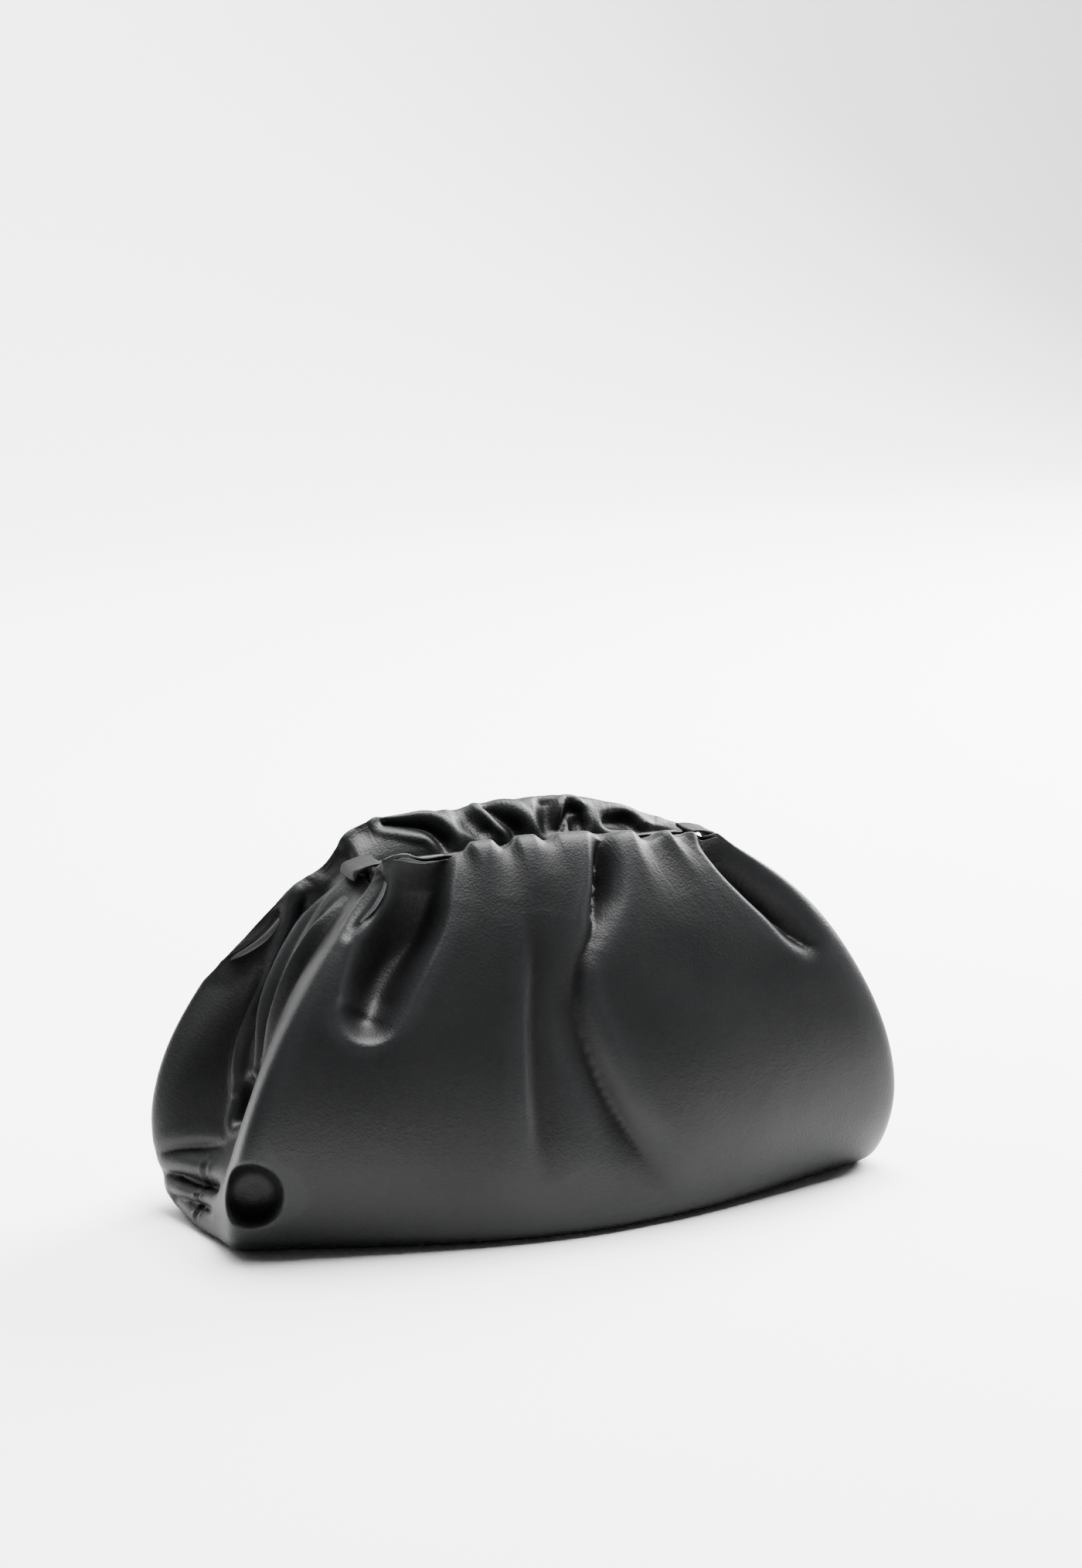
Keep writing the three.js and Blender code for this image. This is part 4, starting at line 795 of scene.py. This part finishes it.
tree.links.new(tone.outputs["Color"], shader.inputs["Base Color"])
tree.links.new(bump_grain.outputs["Normal"], shader.inputs["Normal"])
for piece in straps:
    piece.data.materials.append(strap_leather)
print(strap_leather.name, "on", len(straps), "straps")

# %% [markdown]
# The lining is split suede: short matt nap, no highlight, a faint cloudiness where it was brushed.

# %% Suede lining
suede, tree, shader = new_material("black_suede")
place = add(tree, "ShaderNodeTexCoord")
nap = add(tree, "ShaderNodeTexNoise", [("Vector", place, "Object")], Scale=900.0, Detail=4.0)
brushed = add(tree, "ShaderNodeTexNoise", [("Vector", place, "Object")], Scale=40.0, Detail=3.0)
tone = add(tree, "ShaderNodeValToRGB", [("Fac", brushed, "Fac")])
tone.color_ramp.elements[0].color = linear("#141416")
tone.color_ramp.elements[1].color = linear("#1e1e21")
bump_nap = add(tree, "ShaderNodeBump", [("Height", nap, "Fac")], Strength=0.6, Distance=0.0004)
shader.inputs["Roughness"].default_value = 0.95
shader.inputs["Sheen Weight"].default_value = 0.25
shader.inputs["Sheen Roughness"].default_value = 0.6
tree.links.new(tone.outputs["Color"], shader.inputs["Base Color"])
tree.links.new(bump_nap.outputs["Normal"], shader.inputs["Normal"])
lining.data.materials.append(suede)
print(suede.name)

# %% [markdown]
# The two mouth bars are flat steel strips with a baked black enamel: smooth, a little glossy, with
# the fine orange-peel that a sprayed coat has.

# %% Black enamel on the bars
enamel, tree, shader = new_material("black_enamel")
place = add(tree, "ShaderNodeTexCoord")
peel = add(tree, "ShaderNodeTexNoise", [("Vector", place, "Object")], Scale=600.0, Detail=2.0)
bump_peel = add(tree, "ShaderNodeBump", [("Height", peel, "Fac")], Strength=0.2, Distance=0.0002)
shader.inputs["Base Color"].default_value = linear("#151517")
shader.inputs["Roughness"].default_value = 0.32
tree.links.new(bump_peel.outputs["Normal"], shader.inputs["Normal"])
for node in ("frame_bar_front", "frame_bar_back"):
    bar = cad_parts[node]
    bar.data.materials.clear()
    bar.data.materials.append(enamel)
print(enamel.name)

# %% [markdown]
# ## The studio
# The bag stands on a pale seamless floor that runs up into the backdrop. One large soft light hangs
# above it, a second stands behind it on the right, and a third whitens the backdrop. Large lights
# give black leather its long soft highlights; a small one would leave points.

# %% Floor and backdrop
paper, tree, shader = new_material("backdrop_paper")
shader.inputs["Base Color"].default_value = linear("#fafafa")
shader.inputs["Roughness"].default_value = 0.9
FLOOR_FRONT = -5.0
FLOOR_BACK = 2.0
SWEEP_RADIUS = 1.2
BACKDROP_TOP = 5.0
turn = np.linspace(0.1, np.pi / 2, 16)
# the sweep from the side, as y and z: flat floor, quarter circle, upright
sweep = np.concatenate([
    np.stack([np.linspace(FLOOR_FRONT, FLOOR_BACK, 12), np.zeros(12)], 1),
    np.stack([FLOOR_BACK + SWEEP_RADIUS * np.sin(turn), SWEEP_RADIUS * (1 - np.cos(turn))], 1),
    np.array([[FLOOR_BACK + SWEEP_RADIUS, BACKDROP_TOP]]),
])
x = np.linspace(-5, 5, 5)
points = np.stack([np.tile(x, (len(sweep), 1)),
                   np.repeat(sweep[:, :1], len(x), 1),
                   np.repeat(sweep[:, 1:], len(x), 1)], -1)
at = np.arange(len(sweep) * len(x)).reshape(len(sweep), len(x))
quads = np.stack([at[:-1, :-1], at[:-1, 1:], at[1:, 1:], at[1:, :-1]], -1).reshape(-1, 4)
floor_mesh = bpy.data.meshes.new("studio_floor")
floor_mesh.from_pydata(points.reshape(-1, 3).tolist(), [], quads.tolist())
floor_mesh.polygons.foreach_set("use_smooth", np.ones(len(quads), bool))
floor = bpy.data.objects.new("studio_floor", floor_mesh)
floor_mesh.materials.append(paper)
bpy.context.scene.collection.objects.link(floor)
print("floor of", len(quads), "quads")


# %% Lights
BAG_MIDDLE = (0, 0, 0.09)
BACKDROP_FOOT = (0, 2.6, 0.4)


def soft_light(name, place, size, power, aim):
    """A white square area light of a size in metres and a power in watts that looks at aim."""
    lamp = bpy.data.lights.new(name, "AREA")
    lamp.size = size
    lamp.energy = power
    holder = bpy.data.objects.new(name, lamp)
    holder.location = place
    holder.rotation_euler = (Vector(aim) - Vector(place)).to_track_quat("-Z", "Y").to_euler()
    bpy.context.scene.collection.objects.link(holder)


soft_light("overhead_key", (0.45, 0.1, 2.3), 1.6, 270, BAG_MIDDLE)
soft_light("rim_right", (2.0, 0.9, 1.3), 1.3, 280, BAG_MIDDLE)
soft_light("backdrop_wash", (0.0, 1.3, 2.4), 2.2, 140, BACKDROP_FOOT)
world = bpy.data.worlds.new("studio_air")
world.use_nodes = True
world.node_tree.nodes["Background"].inputs["Color"].default_value = (1, 1, 1, 1)
world.node_tree.nodes["Background"].inputs["Strength"].default_value = 0.08
bpy.context.scene.world = world
